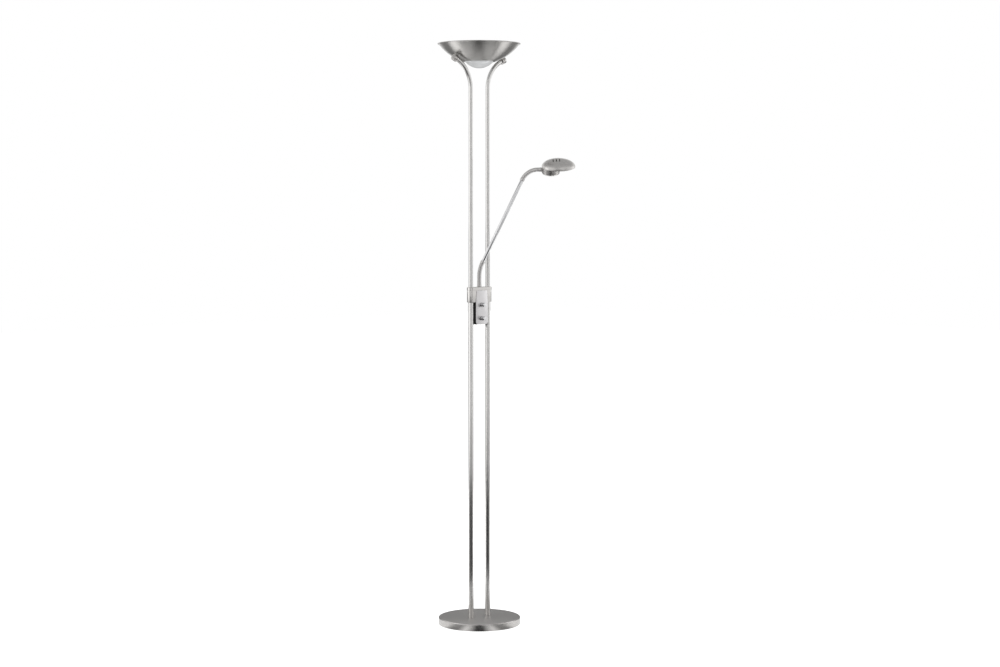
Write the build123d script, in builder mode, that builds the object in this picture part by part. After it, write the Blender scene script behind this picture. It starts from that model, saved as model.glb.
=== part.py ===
"""Torchiere floor lamp with a reading light on a flexible arm.

Frame: origin at the centre of the base's underside on the floor, +Z up, +X along the line
of the two poles, -Y towards the side with the dimmer knobs. Millimetres and degrees.
"""

import os
from math import acos, cos, degrees, radians, sin, sqrt

from build123d import *

os.makedirs("parts", exist_ok=True)

# ---------------------------------------------------------------- driving dimensions

overall_height = 1800.0

# base
base_radius = 127.5
base_height = 22.5
base_wall = 1.2
base_edge_radius = 3.0
cover_lift = 1.0
pad_thickness = 2.0
weight_gap = 0.5
wire_channel_width = 12.0
inlet_height = 6.5
inlet_radius = 4.0
grommet_lip = 1.2
cord_radius = 3.0

# poles
pole_spacing = 70.0
tube_radius = 8.25
tube_wall = 1.5
slip_clearance = 0.1
tube_overlap = 60.0
upper_tube_wall = 1.0
bend_radius = 96.0
bend_angle = 66.0

# how the poles stand on the base
bush_length = 14.0
nipple_radius = 5.0
nipple_bore = 3.3
thread_clearance = 0.05
nut_width = 17.0
nut_thickness = 3.0
washer_radius = 10.5
washer_thickness = 1.2
counterbore_radius = 11.5
counterbore_depth = 14.0
foot_nipple_end = 0.5

# clamp
clamp_top = 1052.0
clamp_height = 47.0
clamp_margin = 3.2
clamp_wall = 1.8
cap_height = 10.0
cap_lip = 0.5
cap_edge_radius = 2.0
core_clearance = 0.1

# dimmer box
box_length = 69.0
box_depth = 26.0
box_wall = 1.8
box_pole_gap = 3.2
box_corner_radius = 4.0
plate_thickness = 1.2
plate_overhang = 0.8
plate_corner_radius = 9.0
plate_top_taper = 2.8
plate_top_margin = 1.0
knob_radius = 6.5
knob_length = 13.5
knob_gap = 0.5
knob_edge_radius = 1.0
knob_pitch = 42.0
upper_knob_drop = 8.0
dimmer_radius = 5.8
dimmer_length = 7.0
dimmer_neck_radius = 3.5
dimmer_nut_width = 9.5
dimmer_nut_thickness = 1.6
shaft_radius = 3.0
shaft_clearance = 0.05
board_thickness = 1.6
board_margin = 2.0
terminal_size = 8.0
box_screw_radius = 1.6
box_screw_length = 14.0
box_screw_inset = 7.0

# reading arm
arm_yaw = -42.0
arm_tilt = 25.7
neck_radius = 6.5
neck_joints = 5
ball_radius = 4.8
ball_gap = 0.3
neck_play = 3.0
neck_bore = 2.0
rib_depth = 0.5
rib_pitch = 3.0
lower_neck_straight = 31.0
lower_neck_radius = 103.0
rod_radius = 5.4
rod_length = 283.0
rod_wall = 0.8
rod_seat = 4.0
upper_neck_radius = 54.0
upper_neck_straight = 11.0
arm_end_tilt = 90.0
stem_radius = 5.0
stem_clearance = 0.05
bush_radius = 8.0
bush_flange = 1.0
bush_depth = 30.0
stem_nut_height = 5.0

# reading head
head_roll = 22.8
visor_half_length = 52.0
visor_half_width = 40.0
visor_rise = 24.0
visor_wall = 1.2
visor_margin = 0.5
cup_radius = 28.0
cup_depth = 22.6
cup_edge_radius = 6.0
cup_wall = 1.2
cup_entry_drop = 10.0
pin_radius = 4.0
pin_clip_radius = 6.4
pin_clip_thickness = 1.2
running_clearance = 0.05
underplate_thickness = 1.2
glass_thickness = 3.0
glass_lip = 1.5
reflector_wall = 0.6
reflector_top_radius = 9.5
reflector_top_drop = 5.0
vent_length = 17.0
vent_width = 2.6
vent_count = 3
vent_pitch = 10.0
vent_side_shift = -6.0
vent_middle = -7.0
capsule_radius = 4.6
capsule_glass_gap = 1.5
capsule_holder_radius = 8.0
capsule_holder_length = 14.0
capsule_holder_edge = 1.0
capsule_tip_radius = 3.7
head_screw_radius = 1.4
head_screw_length = 9.0
head_screw_forward = 18.0
head_screw_side = 18.0

# bowl and its fixings
bowl_radius = 156.0
bowl_rim_radius = 126.2
bowl_wall = 1.2
bowl_hole_radius = 50.0
rim_bead_radius = 1.7
block_radius = 10.5
block_length = 14.5
block_edge_radius = 1.2
block_groove_place = 4.8
block_groove_width = 2.4
block_groove_depth = 0.8
block_tube_seat = 4.0
block_nipple_place = 9.6
bowl_standoff = 16.0
spacer_radius = 5.5
bowl_nipple_radius = 3.4
bowl_nipple_bore = 1.8
bowl_nut_width = 12.0
bowl_nut_thickness = 4.0
nipple_end = 1.5

# glass dish and lamp
dish_radius = 57.0
dish_drop = 20.5
dish_wall = 3.0
dish_flange_radius = 56.0
dish_flange_thickness = 3.0
dish_arc_middle = 25.0
bracket_width = 22.0
bracket_thickness = 1.2
bracket_flat_half = 70.0
bracket_lift = 9.0
bracket_pad_half = 8.0
lamp_length = 118.0
lamp_tube_radius = 5.0
lamp_cap_radius = 3.6
lamp_cap_length = 10.0
lamp_height = 16.0
holder_thickness = 9.0
holder_width = 14.0
holder_height = 24.0
holder_recess = 3.0

# wires
supply_wire_radius = 2.2
supply_wire_bend = 6.0
lead_radius = 1.25
lead_bend = 5.0
lead_reach = 5.0
lead_overlap = 3.0

seat_gap = 0.1
rest_gap = 0.3

# ---------------------------------------------------------------- derived places

pole_x = pole_spacing / 2
sides = {"left": -1, "right": 1}
upper_tube_radius = tube_radius - tube_wall - slip_clearance

cap_bottom = clamp_top - cap_height
clamp_bottom = clamp_top - clamp_height
lower_tube_top = cap_bottom - seat_gap
band_radius = tube_radius + clamp_margin
band_inner_radius = band_radius - clamp_wall

box_top = clamp_bottom
box_bottom = box_top - box_length
box_half_width = pole_x - tube_radius - box_pole_gap
box_front = -band_radius
box_back = box_front + box_depth
plate_front = box_front - plate_thickness
plate_half_width = box_half_width + plate_overhang

bowl_centre_z = overall_height + sqrt(bowl_radius**2 - bowl_rim_radius**2)
bowl_inner_radius = bowl_radius - bowl_wall

# the fixings lie where the bent pole end brings them to the stated distance off the bowl
nipple_x = pole_x + bend_radius * (1 - cos(radians(bend_angle)))
nipple_x += block_nipple_place * sin(radians(bend_angle))
nipple_z = bowl_centre_z - sqrt((bowl_radius + bowl_standoff) ** 2 - nipple_x**2)
bend_start_z = nipple_z - bend_radius * sin(radians(bend_angle))
bend_start_z -= block_nipple_place * cos(radians(bend_angle))

# reading arm: the arm's plane is upright and turned by arm_yaw from +X
reach = Vector(cos(radians(arm_yaw)), sin(radians(arm_yaw)), 0)
up = Vector(0, 0, 1)
hinge_line = up.cross(reach)


def arm_place(distance, height):
    """Point in the arm's plane, at a distance from the lamp's middle and a height."""
    return reach * distance + up * height


def arm_direction(tilt):
    """Unit vector in the arm's plane, tilted outwards from straight up."""
    return reach * sin(radians(tilt)) + up * cos(radians(tilt))


def profile_plane(point, along):
    """Plane whose local y runs along the arm, for profiles turned about the arm's line."""
    return Plane(origin=point, x_dir=hinge_line, z_dir=hinge_line.cross(along))


def cross_plane(point, along):
    """Plane square to the arm at a point."""
    return Plane(origin=point, x_dir=hinge_line, z_dir=along)


lower_neck_arc = lower_neck_radius * radians(arm_tilt)
lower_neck_length = lower_neck_straight + lower_neck_arc
upper_neck_arc = upper_neck_radius * radians(arm_end_tilt - arm_tilt)
upper_neck_length = upper_neck_arc + upper_neck_straight
lower_pitch = lower_neck_length / neck_joints
upper_pitch = upper_neck_length / neck_joints
socket_radius = ball_radius + ball_gap
ball_reach = sqrt(ball_radius**2 - neck_bore**2)
socket_reach = sqrt(socket_radius**2 - neck_bore**2)


def bend_point(start, start_tilt, radius, turned):
    """Point on a neck's arc after it has turned by some degrees from its start."""
    across = radius * (cos(radians(start_tilt)) - cos(radians(start_tilt + turned)))
    rise = radius * (sin(radians(start_tilt + turned)) - sin(radians(start_tilt)))
    return start + arm_place(across, rise)


lower_bend_start = arm_place(0, clamp_top + lower_neck_straight)
rod_start = bend_point(lower_bend_start, 0, lower_neck_radius, arm_tilt)
rod_direction = arm_direction(arm_tilt)
rod_end = rod_start + rod_direction * rod_length
upper_bend_end = bend_point(rod_end, arm_tilt, upper_neck_radius, arm_end_tilt - arm_tilt)
arm_end_direction = arm_direction(arm_end_tilt)
arm_end = upper_bend_end + arm_end_direction * upper_neck_straight


def lower_pivot(index):
    """Centre of a joint of the lower neck, counted from the clamp."""
    along = (index + 0.5) * lower_pitch
    if index == neck_joints - 1:
        return rod_start - rod_direction * lower_pitch / 2
    if along <= lower_neck_straight:
        return arm_place(0, clamp_top + along)
    turned = degrees((along - lower_neck_straight) / lower_neck_radius)
    return bend_point(lower_bend_start, 0, lower_neck_radius, turned)


def upper_pivot(index):
    """Centre of a joint of the upper neck, counted from the rod."""
    along = (index + 0.5) * upper_pitch
    if index == 0:
        return rod_end + rod_direction * along
    if index == neck_joints - 1:
        return arm_end - arm_end_direction * upper_pitch / 2
    turned = min(degrees(along / upper_neck_radius), arm_end_tilt - arm_tilt)
    past = max(along - upper_neck_arc, 0)
    return bend_point(rod_end, arm_tilt, upper_neck_radius, turned) + arm_end_direction * past


lower_pivots = [lower_pivot(i) for i in range(neck_joints)]
upper_pivots = [upper_pivot(i) for i in range(neck_joints)]

# reading head: rolled about the arm's end, its dome leaning towards the knobs' side
head_up = up * cos(radians(head_roll)) - hinge_line * sin(radians(head_roll))
cup_centre = arm_end + arm_end_direction * (cup_radius + ball_gap) + head_up * cup_entry_drop
cup_plane = Plane(origin=cup_centre, x_dir=arm_end_direction, z_dir=head_up)
visor_offset = visor_half_length - cup_radius - visor_margin
visor_centre = cup_centre + arm_end_direction * visor_offset
visor_plane = Plane(origin=visor_centre, x_dir=arm_end_direction, z_dir=head_up)


# ---------------------------------------------------------------- helpers for shapes


def hex_radius(width_across_flats):
    """Corner radius of a hexagon from its width across flats."""
    return width_across_flats / 2 / cos(radians(30))


def ball_profile(length):
    """Close a link's profile over its ball, whose centre is at the given length."""
    low = length - neck_play
    low_radius = sqrt(ball_radius**2 - neck_play**2)
    Line((neck_radius, low), (low_radius, low))
    ThreePointArc((low_radius, low), (ball_radius, length), (neck_bore, length + ball_reach))


def socket_profile():
    """Open a link's profile under its socket, whose centre is the profile's origin."""
    slant = socket_radius / sqrt(2)
    ThreePointArc((neck_bore, socket_reach), (slant, slant), (socket_radius, 0))
    Line((socket_radius, 0), (neck_radius, 0))


def ribbed_side(low, high, grooves):
    """Outer side of a link from low to high, with evenly spaced shallow ring grooves."""
    pitch = (high - low) / (grooves + 1)
    points = [(neck_radius, low)]
    for groove in range(1, grooves + 1):
        middle = low + groove * pitch
        points.append((neck_radius, middle - rib_depth))
        points.append((neck_radius - rib_depth, middle))
        points.append((neck_radius, middle + rib_depth))
    points.append((neck_radius, high))
    Polyline(*points)


def stadium(radius, mode=Mode.ADD):
    """Oval round both poles, for use inside a sketch."""
    SlotCenterToCenter(pole_spacing, 2 * radius, mode=mode)


# ---------------------------------------------------------------- base

with BuildPart() as base_cover:
    with BuildSketch(Plane.XY.offset(cover_lift)):
        Circle(base_radius)
    extrude(amount=base_height - cover_lift)
    fillet(base_cover.edges().group_by(Axis.Z)[-1], radius=base_edge_radius)
    with BuildSketch(Plane.XY.offset(cover_lift)):
        Circle(base_radius - base_wall)
    extrude(amount=base_height - cover_lift - base_wall, mode=Mode.SUBTRACT)
    with BuildSketch(Plane.XY.offset(base_height)):
        with Locations((-pole_x, 0), (pole_x, 0)):
            Circle(nipple_radius + thread_clearance)
    extrude(amount=-base_wall, mode=Mode.SUBTRACT)
    with BuildSketch(Plane.XZ.offset(-base_radius)):
        with Locations((pole_x, inlet_height)):
            Circle(inlet_radius)
    extrude(amount=base_radius / 2, mode=Mode.SUBTRACT)
base_cover.part.label = "base_cover"
export_step(base_cover.part, "parts/base_cover.step")

weight_top = base_height - base_wall
weight_radius = base_radius - base_wall - base_edge_radius
with BuildPart() as base_weight:
    with BuildSketch(Plane.XY.offset(pad_thickness)):
        Circle(weight_radius)
    extrude(amount=weight_top - pad_thickness)
    with BuildSketch(Plane.XY.offset(pad_thickness)):
        with Locations((-pole_x, 0), (pole_x, 0)):
            Circle(nipple_radius + weight_gap)
    extrude(amount=weight_top - pad_thickness, mode=Mode.SUBTRACT)
    with BuildSketch(Plane.XY.offset(pad_thickness)):
        with Locations((-pole_x, 0), (pole_x, 0)):
            Circle(counterbore_radius)
    extrude(amount=counterbore_depth, mode=Mode.SUBTRACT)
    with BuildSketch(Plane.XY.offset(pad_thickness)):
        with Locations((0, 0)):
            Rectangle(pole_spacing, wire_channel_width)
        with Locations((pole_x, base_radius / 2)):
            Rectangle(wire_channel_width, base_radius)
    extrude(amount=inlet_height + wire_channel_width / 2 - pad_thickness, mode=Mode.SUBTRACT)
base_weight.part.label = "base_weight"
export_step(base_weight.part, "parts/base_weight.step")

with BuildPart() as floor_pad:
    with BuildSketch():
        Circle(weight_radius)
    extrude(amount=pad_thickness)
floor_pad.part.label = "floor_pad"
export_step(floor_pad.part, "parts/floor_pad.step")

# rubber inlet ring in the back of the cover
inlet_y = sqrt(base_radius**2 - pole_x**2)
with BuildPart() as cord_grommet:
    with BuildSketch(Plane.XZ.offset(-inlet_y - grommet_lip)):
        with Locations((pole_x, inlet_height)):
            Circle(inlet_radius - seat_gap)
    extrude(amount=2 * grommet_lip + base_wall + inlet_radius)
    with BuildSketch(Plane.XZ.offset(-inlet_y - grommet_lip)):
        with Locations((pole_x, inlet_height)):
            Circle(cord_radius)
    extrude(amount=2 * grommet_lip + base_wall + inlet_radius, mode=Mode.SUBTRACT)
cord_grommet.part.label = "cord_grommet"
export_step(cord_grommet.part, "parts/cord_grommet.step")

# ---------------------------------------------------------------- feet of the poles

bore_radius = tube_radius - tube_wall
with BuildPart() as foot_bushes:
    with BuildSketch(Plane.XY.offset(base_height)):
        with Locations((-pole_x, 0), (pole_x, 0)):
            Circle(bore_radius - thread_clearance)
            Circle(nipple_radius + thread_clearance, mode=Mode.SUBTRACT)
    extrude(amount=bush_length)
foot_bushes.part.label = "foot_bushes"
export_step(foot_bushes.part, "parts/foot_bushes.step")

seat_z = pad_thickness + counterbore_depth
nipple_bottom = seat_z - washer_thickness - nut_thickness - foot_nipple_end
with BuildPart() as foot_nipples:
    with BuildSketch(Plane.XY.offset(nipple_bottom)):
        with Locations((-pole_x, 0), (pole_x, 0)):
            Circle(nipple_radius)
            Circle(nipple_bore, mode=Mode.SUBTRACT)
    extrude(amount=base_height + bush_length - nipple_bottom)
foot_nipples.part.label = "foot_nipples"
export_step(foot_nipples.part, "parts/foot_nipples.step")

with BuildPart() as foot_washers:
    with BuildSketch(Plane.XY.offset(seat_z)):
        with Locations((-pole_x, 0), (pole_x, 0)):
            Circle(washer_radius)
            Circle(nipple_radius + thread_clearance, mode=Mode.SUBTRACT)
    extrude(amount=-washer_thickness)
foot_washers.part.label = "foot_washers"
export_step(foot_washers.part, "parts/foot_washers.step")

with BuildPart() as foot_nuts:
    with BuildSketch(Plane.XY.offset(seat_z - washer_thickness)):
        with Locations((-pole_x, 0), (pole_x, 0)):
            RegularPolygon(hex_radius(nut_width), 6)
            Circle(nipple_radius + thread_clearance, mode=Mode.SUBTRACT)
    extrude(amount=-nut_thickness)
foot_nuts.part.label = "foot_nuts"
export_step(foot_nuts.part, "parts/foot_nuts.step")

# ---------------------------------------------------------------- poles

for side_name, side in sides.items():
    with BuildPart() as lower_tube:
        with BuildSketch(Plane.XY.offset(base_height)):
            with Locations((side * pole_x, 0)):
                Circle(tube_radius)
                Circle(bore_radius, mode=Mode.SUBTRACT)
        extrude(amount=lower_tube_top - base_height)
    lower_tube.part.label = f"lower_tube_{side_name}"
    export_step(lower_tube.part, f"parts/lower_tube_{side_name}.step")

    with BuildPart() as upper_tube:
        with BuildLine(Plane.XZ) as route:
            straight = Line((side * pole_x, lower_tube_top - tube_overlap), (side * pole_x, bend_start_z))
            bend = JernArc(straight @ 1, straight % 1, bend_radius, -side * bend_angle)
            Line(bend @ 1, bend @ 1 + (bend % 1) * block_tube_seat)
        with BuildSketch(Plane.XY.offset(lower_tube_top - tube_overlap)):
            with Locations((side * pole_x, 0)):
                Circle(upper_tube_radius)
                Circle(upper_tube_radius - upper_tube_wall, mode=Mode.SUBTRACT)
        sweep()
    upper_tube.part.label = f"upper_tube_{side_name}"
    export_step(upper_tube.part, f"parts/upper_tube_{side_name}.step")

# ---------------------------------------------------------------- clamp

with BuildPart() as clamp_band:
    with BuildSketch(Plane.XY.offset(clamp_bottom)):
        stadium(band_radius)
        stadium(band_inner_radius, Mode.SUBTRACT)
    extrude(amount=cap_bottom - clamp_bottom)
clamp_band.part.label = "clamp_band"
export_step(clamp_band.part, "parts/clamp_band.step")

box_screw_x = box_half_width - box_screw_inset
with BuildPart() as clamp_core:
    with BuildSketch(Plane.XY.offset(clamp_bottom)):
        stadium(band_inner_radius - core_clearance)
        with Locations((-pole_x, 0), (pole_x, 0)):
            Circle(tube_radius + core_clearance, mode=Mode.SUBTRACT)
        Circle(bush_radius + core_clearance, mode=Mode.SUBTRACT)
        with Locations((-box_screw_x, 0), (box_screw_x, 0)):
            Circle(box_screw_radius + seat_gap, mode=Mode.SUBTRACT)
    extrude(amount=cap_bottom - clamp_bottom)
    with BuildSketch(Plane.XY.offset(cap_bottom)):
        with Locations((-box_screw_x, 0), (box_screw_x, 0)):
            Circle(2 * box_screw_radius + seat_gap)
    extrude(amount=clamp_bottom + box_screw_radius - cap_bottom, mode=Mode.SUBTRACT)
clamp_core.part.label = "clamp_core"
export_step(clamp_core.part, "parts/clamp_core.step")

with BuildPart() as clamp_cap:
    with BuildSketch(Plane.XY.offset(cap_bottom)):
        stadium(band_radius + cap_lip)
    extrude(amount=cap_height)
    fillet(clamp_cap.edges().group_by(Axis.Z)[-1], radius=cap_edge_radius)
    with BuildSketch(Plane.XY.offset(cap_bottom)):
        with Locations((-pole_x, 0), (pole_x, 0)):
            Circle(upper_tube_radius + slip_clearance)
        Circle(bush_radius + core_clearance)
    extrude(amount=cap_height, mode=Mode.SUBTRACT)
clamp_cap.part.label = "clamp_cap"
export_step(clamp_cap.part, "parts/clamp_cap.step")

with BuildPart() as arm_bush:
    with BuildSketch(Plane.XY.offset(clamp_top - bush_depth)):
        Circle(bush_radius)
        Circle(stem_radius + stem_clearance, mode=Mode.SUBTRACT)
    extrude(amount=bush_depth + bush_flange)
arm_bush.part.label = "arm_bush"
export_step(arm_bush.part, "parts/arm_bush.step")

# ---------------------------------------------------------------- dimmer box

upper_knob_z = box_top - upper_knob_drop
knob_heights = {"upper": upper_knob_z, "lower": upper_knob_z - knob_pitch}
knob_centres = [(0, height) for height in knob_heights.values()]
board_front = box_front + dimmer_length + box_wall
plate_top = cap_bottom - plate_top_margin
neck_reach = board_front - plate_front + dimmer_nut_thickness

with BuildPart() as box_housing:
    with BuildSketch(Plane.XZ.offset(-box_back)) as outline:
        with Locations((0, (box_top + box_bottom) / 2)):
            Rectangle(2 * box_half_width, box_length)
        fillet(outline.vertices().group_by(Axis.Z)[0], radius=box_corner_radius)
    extrude(amount=box_depth)
    with BuildSketch(Plane.XZ.offset(-box_front)):
        with Locations((0, (box_top + box_bottom) / 2)):
            Rectangle(2 * (box_half_width - box_wall), box_length - 2 * box_wall)
    extrude(amount=-(box_depth - box_wall), mode=Mode.SUBTRACT)
    boss_height = box_screw_length - box_screw_radius
    with BuildSketch(Plane.XY.offset(box_top - box_wall)):
        with Locations((-box_screw_x, 0), (box_screw_x, 0)):
            Circle(2 * box_screw_radius)
    extrude(amount=-boss_height)
    with BuildSketch(Plane.XY.offset(box_top)):
        with Locations((-box_screw_x, 0), (box_screw_x, 0)):
            Circle(box_screw_radius + thread_clearance)
    extrude(amount=-boss_height, mode=Mode.SUBTRACT)
    with BuildSketch(Plane.XY.offset(box_top)):
        Circle(stem_radius)
    extrude(amount=-box_wall, mode=Mode.SUBTRACT)
box_housing.part.label = "box_housing"
export_step(box_housing.part, "parts/box_housing.step")

with BuildPart() as box_screws:
    with BuildSketch(Plane.XY.offset(clamp_bottom + box_screw_radius)):
        with Locations((-box_screw_x, 0), (box_screw_x, 0)):
            Circle(2 * box_screw_radius)
    extrude(amount=box_screw_radius)
    with BuildSketch(Plane.XY.offset(clamp_bottom + box_screw_radius)):
        with Locations((-box_screw_x, 0), (box_screw_x, 0)):
            Circle(box_screw_radius)
    extrude(amount=-box_screw_length + box_screw_radius)
box_screws.part.label = "box_screws"
export_step(box_screws.part, "parts/box_screws.step")

with BuildPart() as front_plate:
    with BuildSketch(Plane.XZ.offset(-box_front)) as shield:
        with BuildLine():
            Polyline(
                (-plate_half_width, box_bottom),
                (plate_half_width, box_bottom),
                (plate_half_width, clamp_bottom),
                (plate_half_width - plate_top_taper, plate_top),
                (-plate_half_width + plate_top_taper, plate_top),
                (-plate_half_width, clamp_bottom),
                close=True,
            )
        make_face()
        fillet(shield.vertices().group_by(Axis.Z)[0], radius=plate_corner_radius)
        with Locations(*knob_centres):
            Circle(dimmer_neck_radius + seat_gap, mode=Mode.SUBTRACT)
    extrude(amount=plate_thickness)
front_plate.part.label = "front_plate"
export_step(front_plate.part, "parts/front_plate.step")

with BuildPart() as dimmer_board:
    with BuildSketch(Plane.XZ.offset(-board_front)):
        with Locations((0, (box_top + box_bottom) / 2 - box_screw_length / 2)):
            Rectangle(
                2 * (box_half_width - box_wall - seat_gap),
                box_length - 2 * box_wall - box_screw_length - board_margin,
            )
    extrude(amount=-board_thickness)
dimmer_board.part.label = "dimmer_board"
export_step(dimmer_board.part, "parts/dimmer_board.step")

with BuildPart() as terminal_block:
    with BuildSketch(Plane.XZ.offset(-board_front - board_thickness)):
        with Locations((0, box_bottom + box_length / 2)):
            Rectangle(2 * terminal_size, terminal_size)
    extrude(amount=-terminal_size)
terminal_block.part.label = "terminal_block"
export_step(terminal_block.part, "parts/terminal_block.step")

with BuildPart() as dimmer_bodies:
    with BuildSketch(Plane.XZ.offset(-board_front)):
        with Locations(*knob_centres):
            Circle(dimmer_radius)
    extrude(amount=dimmer_length)
    with BuildSketch(Plane.XZ.offset(-board_front)):
        with Locations(*knob_centres):
            Circle(dimmer_neck_radius)
    extrude(amount=neck_reach)
    with BuildSketch(Plane.XZ.offset(-board_front)):
        with Locations(*knob_centres):
            Circle(shaft_radius + shaft_clearance)
    extrude(amount=neck_reach, mode=Mode.SUBTRACT)
dimmer_bodies.part.label = "dimmer_bodies"
export_step(dimmer_bodies.part, "parts/dimmer_bodies.step")

with BuildPart() as dimmer_nuts:
    with BuildSketch(Plane.XZ.offset(-plate_front)):
        with Locations(*knob_centres):
            RegularPolygon(hex_radius(dimmer_nut_width), 6)
            Circle(dimmer_neck_radius + thread_clearance, mode=Mode.SUBTRACT)
    extrude(amount=dimmer_nut_thickness)
dimmer_nuts.part.label = "dimmer_nuts"
export_step(dimmer_nuts.part, "parts/dimmer_nuts.step")

for place, height in knob_heights.items():
    with BuildPart() as shaft:
        with BuildSketch(Plane.XZ.offset(-board_front)):
            with Locations((0, height)):
                Circle(shaft_radius)
        extrude(amount=board_front - plate_front + knob_length)
    shaft.part.label = f"{place}_shaft"
    export_step(shaft.part, f"parts/{place}_shaft.step")

    knob_back = -plate_front + knob_gap
    with BuildPart() as knob:
        with BuildSketch(Plane.XZ.offset(knob_back)):
            with Locations((0, height)):
                Circle(knob_radius)
        extrude(amount=knob_length)
        fillet(knob.edges().group_by(Axis.Y)[0], radius=knob_edge_radius)
        with BuildSketch(Plane.XZ.offset(knob_back)):
            with Locations((0, height)):
                Circle(shaft_radius + seat_gap / 2)
        extrude(amount=knob_length - knob_gap, mode=Mode.SUBTRACT)
        with BuildSketch(Plane.XZ.offset(knob_back)):
            with Locations((0, height)):
                Circle(knob_radius - knob_edge_radius)
        extrude(amount=dimmer_nut_thickness + knob_gap, mode=Mode.SUBTRACT)
    knob.part.label = f"{place}_knob"
    export_step(knob.part, f"parts/{place}_knob.step")

# ---------------------------------------------------------------- reading arm

stem_foot = clamp_top + bush_flange + ball_gap
stem_bottom = clamp_top - bush_depth - ball_gap - stem_nut_height
first_pivot = lower_pivots[0]
with BuildPart() as arm_stem:
    with BuildSketch(profile_plane(arm_place(0, 0), up)):
        with BuildLine():
            ball_profile(first_pivot.Z)
            Line((neck_bore, first_pivot.Z + ball_reach), (neck_bore, stem_bottom))
            Line((neck_bore, stem_bottom), (stem_radius, stem_bottom))
            Line((stem_radius, stem_bottom), (stem_radius, stem_foot))
            Line((stem_radius, stem_foot), (neck_radius, stem_foot))
            Line((neck_radius, stem_foot), (neck_radius, first_pivot.Z - neck_play))
        make_face()
    revolve(axis=Axis.Z)
arm_stem.part.label = "arm_stem"
export_step(arm_stem.part, "parts/arm_stem.step")

with BuildPart() as stem_nut:
    with BuildSketch(Plane.XY.offset(stem_bottom)):
        Circle(bush_radius - seat_gap)
        Circle(stem_radius + thread_clearance, mode=Mode.SUBTRACT)
    extrude(amount=stem_nut_height)
stem_nut.part.label = "stem_nut"
export_step(stem_nut.part, "parts/stem_nut.step")


def neck_link(start, end):
    """One link of a neck: a socket at its start, a ball at its end, a wire bore through it."""
    along = (end - start).normalized()
    length = (end - start).length
    grooves = int((length - neck_play) / rib_pitch) - 1
    with BuildPart() as link:
        with BuildSketch(profile_plane(start, along)):
            with BuildLine():
                socket_profile()
                ribbed_side(0, length - neck_play, grooves)
                ball_profile(length)
                Line((neck_bore, length + ball_reach), (neck_bore, socket_reach))
            make_face()
        revolve(axis=Axis(start, along))
    return link.part


for neck, pivots in (("lower", lower_pivots), ("upper", upper_pivots)):
    for index in range(1, neck_joints):
        link = neck_link(pivots[index - 1], pivots[index])
        link.label = f"{neck}_neck_link_{index}"
        export_step(link, f"parts/{link.label}.step")

# ferrule from the lower neck's last joint to the rod
foot_length = lower_pitch / 2
with BuildPart() as rod_foot:
    with BuildSketch(profile_plane(lower_pivots[-1], rod_direction)):
        with BuildLine():
            socket_profile()
            Line((neck_radius, 0), (neck_radius, foot_length + rod_seat))
            Line((neck_radius, foot_length + rod_seat), (rod_radius + seat_gap, foot_length + rod_seat))
            Line((rod_radius + seat_gap, foot_length + rod_seat), (rod_radius + seat_gap, foot_length))
            Line((rod_radius + seat_gap, foot_length), (neck_bore, foot_length))
            Line((neck_bore, foot_length), (neck_bore, socket_reach))
        make_face()
    revolve(axis=Axis(lower_pivots[-1], rod_direction))
rod_foot.part.label = "rod_foot"
export_step(rod_foot.part, "parts/rod_foot.step")

with BuildPart() as arm_rod:
    with BuildSketch(cross_plane(rod_start, rod_direction)):
        Circle(rod_radius)
        Circle(rod_radius - rod_wall, mode=Mode.SUBTRACT)
    extrude(amount=rod_length)
arm_rod.part.label = "arm_rod"
export_step(arm_rod.part, "parts/arm_rod.step")

head_ferrule_length = upper_pitch / 2
with BuildPart() as rod_head:
    with BuildSketch(profile_plane(rod_end, rod_direction)):
        with BuildLine():
            ball_profile(head_ferrule_length)
            Line((neck_bore, head_ferrule_length + ball_reach), (neck_bore, 0))
            Line((neck_bore, 0), (rod_radius + seat_gap, 0))
            Line((rod_radius + seat_gap, 0), (rod_radius + seat_gap, -rod_seat))
            Line((rod_radius + seat_gap, -rod_seat), (neck_radius, -rod_seat))
            Line((neck_radius, -rod_seat), (neck_radius, head_ferrule_length - neck_play))
        make_face()
    revolve(axis=Axis(rod_end, rod_direction))
rod_head.part.label = "rod_head"
export_step(rod_head.part, "parts/rod_head.step")

# the collar ends the upper neck, and its pin is the axle that the head turns on
collar_length = upper_pitch / 2
cup_sag = cup_radius - sqrt(cup_radius**2 - neck_radius**2)
clip_place = ball_gap + cup_wall + cup_sag + ball_gap
pin_length = clip_place + pin_clip_thickness
with BuildPart() as head_collar:
    with BuildSketch(profile_plane(upper_pivots[-1], arm_end_direction)):
        with BuildLine():
            socket_profile()
            Line((neck_radius, 0), (neck_radius, collar_length))
            Line((neck_radius, collar_length), (pin_radius, collar_length))
            Line((pin_radius, collar_length), (pin_radius, collar_length + pin_length))
            Line((pin_radius, collar_length + pin_length), (neck_bore, collar_length + pin_length))
            Line((neck_bore, collar_length + pin_length), (neck_bore, socket_reach))
        make_face()
    revolve(axis=Axis(upper_pivots[-1], arm_end_direction))
head_collar.part.label = "head_collar"
export_step(head_collar.part, "parts/head_collar.step")

with BuildPart() as pin_clip:
    with BuildSketch(cross_plane(arm_end + arm_end_direction * clip_place, arm_end_direction)):
        Circle(pin_clip_radius)
        Circle(pin_radius + thread_clearance, mode=Mode.SUBTRACT)
    extrude(amount=pin_clip_thickness)
pin_clip.part.label = "pin_clip"
export_step(pin_clip.part, "parts/pin_clip.step")

# ---------------------------------------------------------------- reading head


def half_ellipsoid(length, width, height):
    """Upper half of an ellipsoid about the origin, with the given half axes."""
    with BuildPart() as blank:
        Sphere(length)
        split(bisect_by=Plane.XY)
        scale(by=(1, width / length, height / length))
    return blank.part


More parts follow.
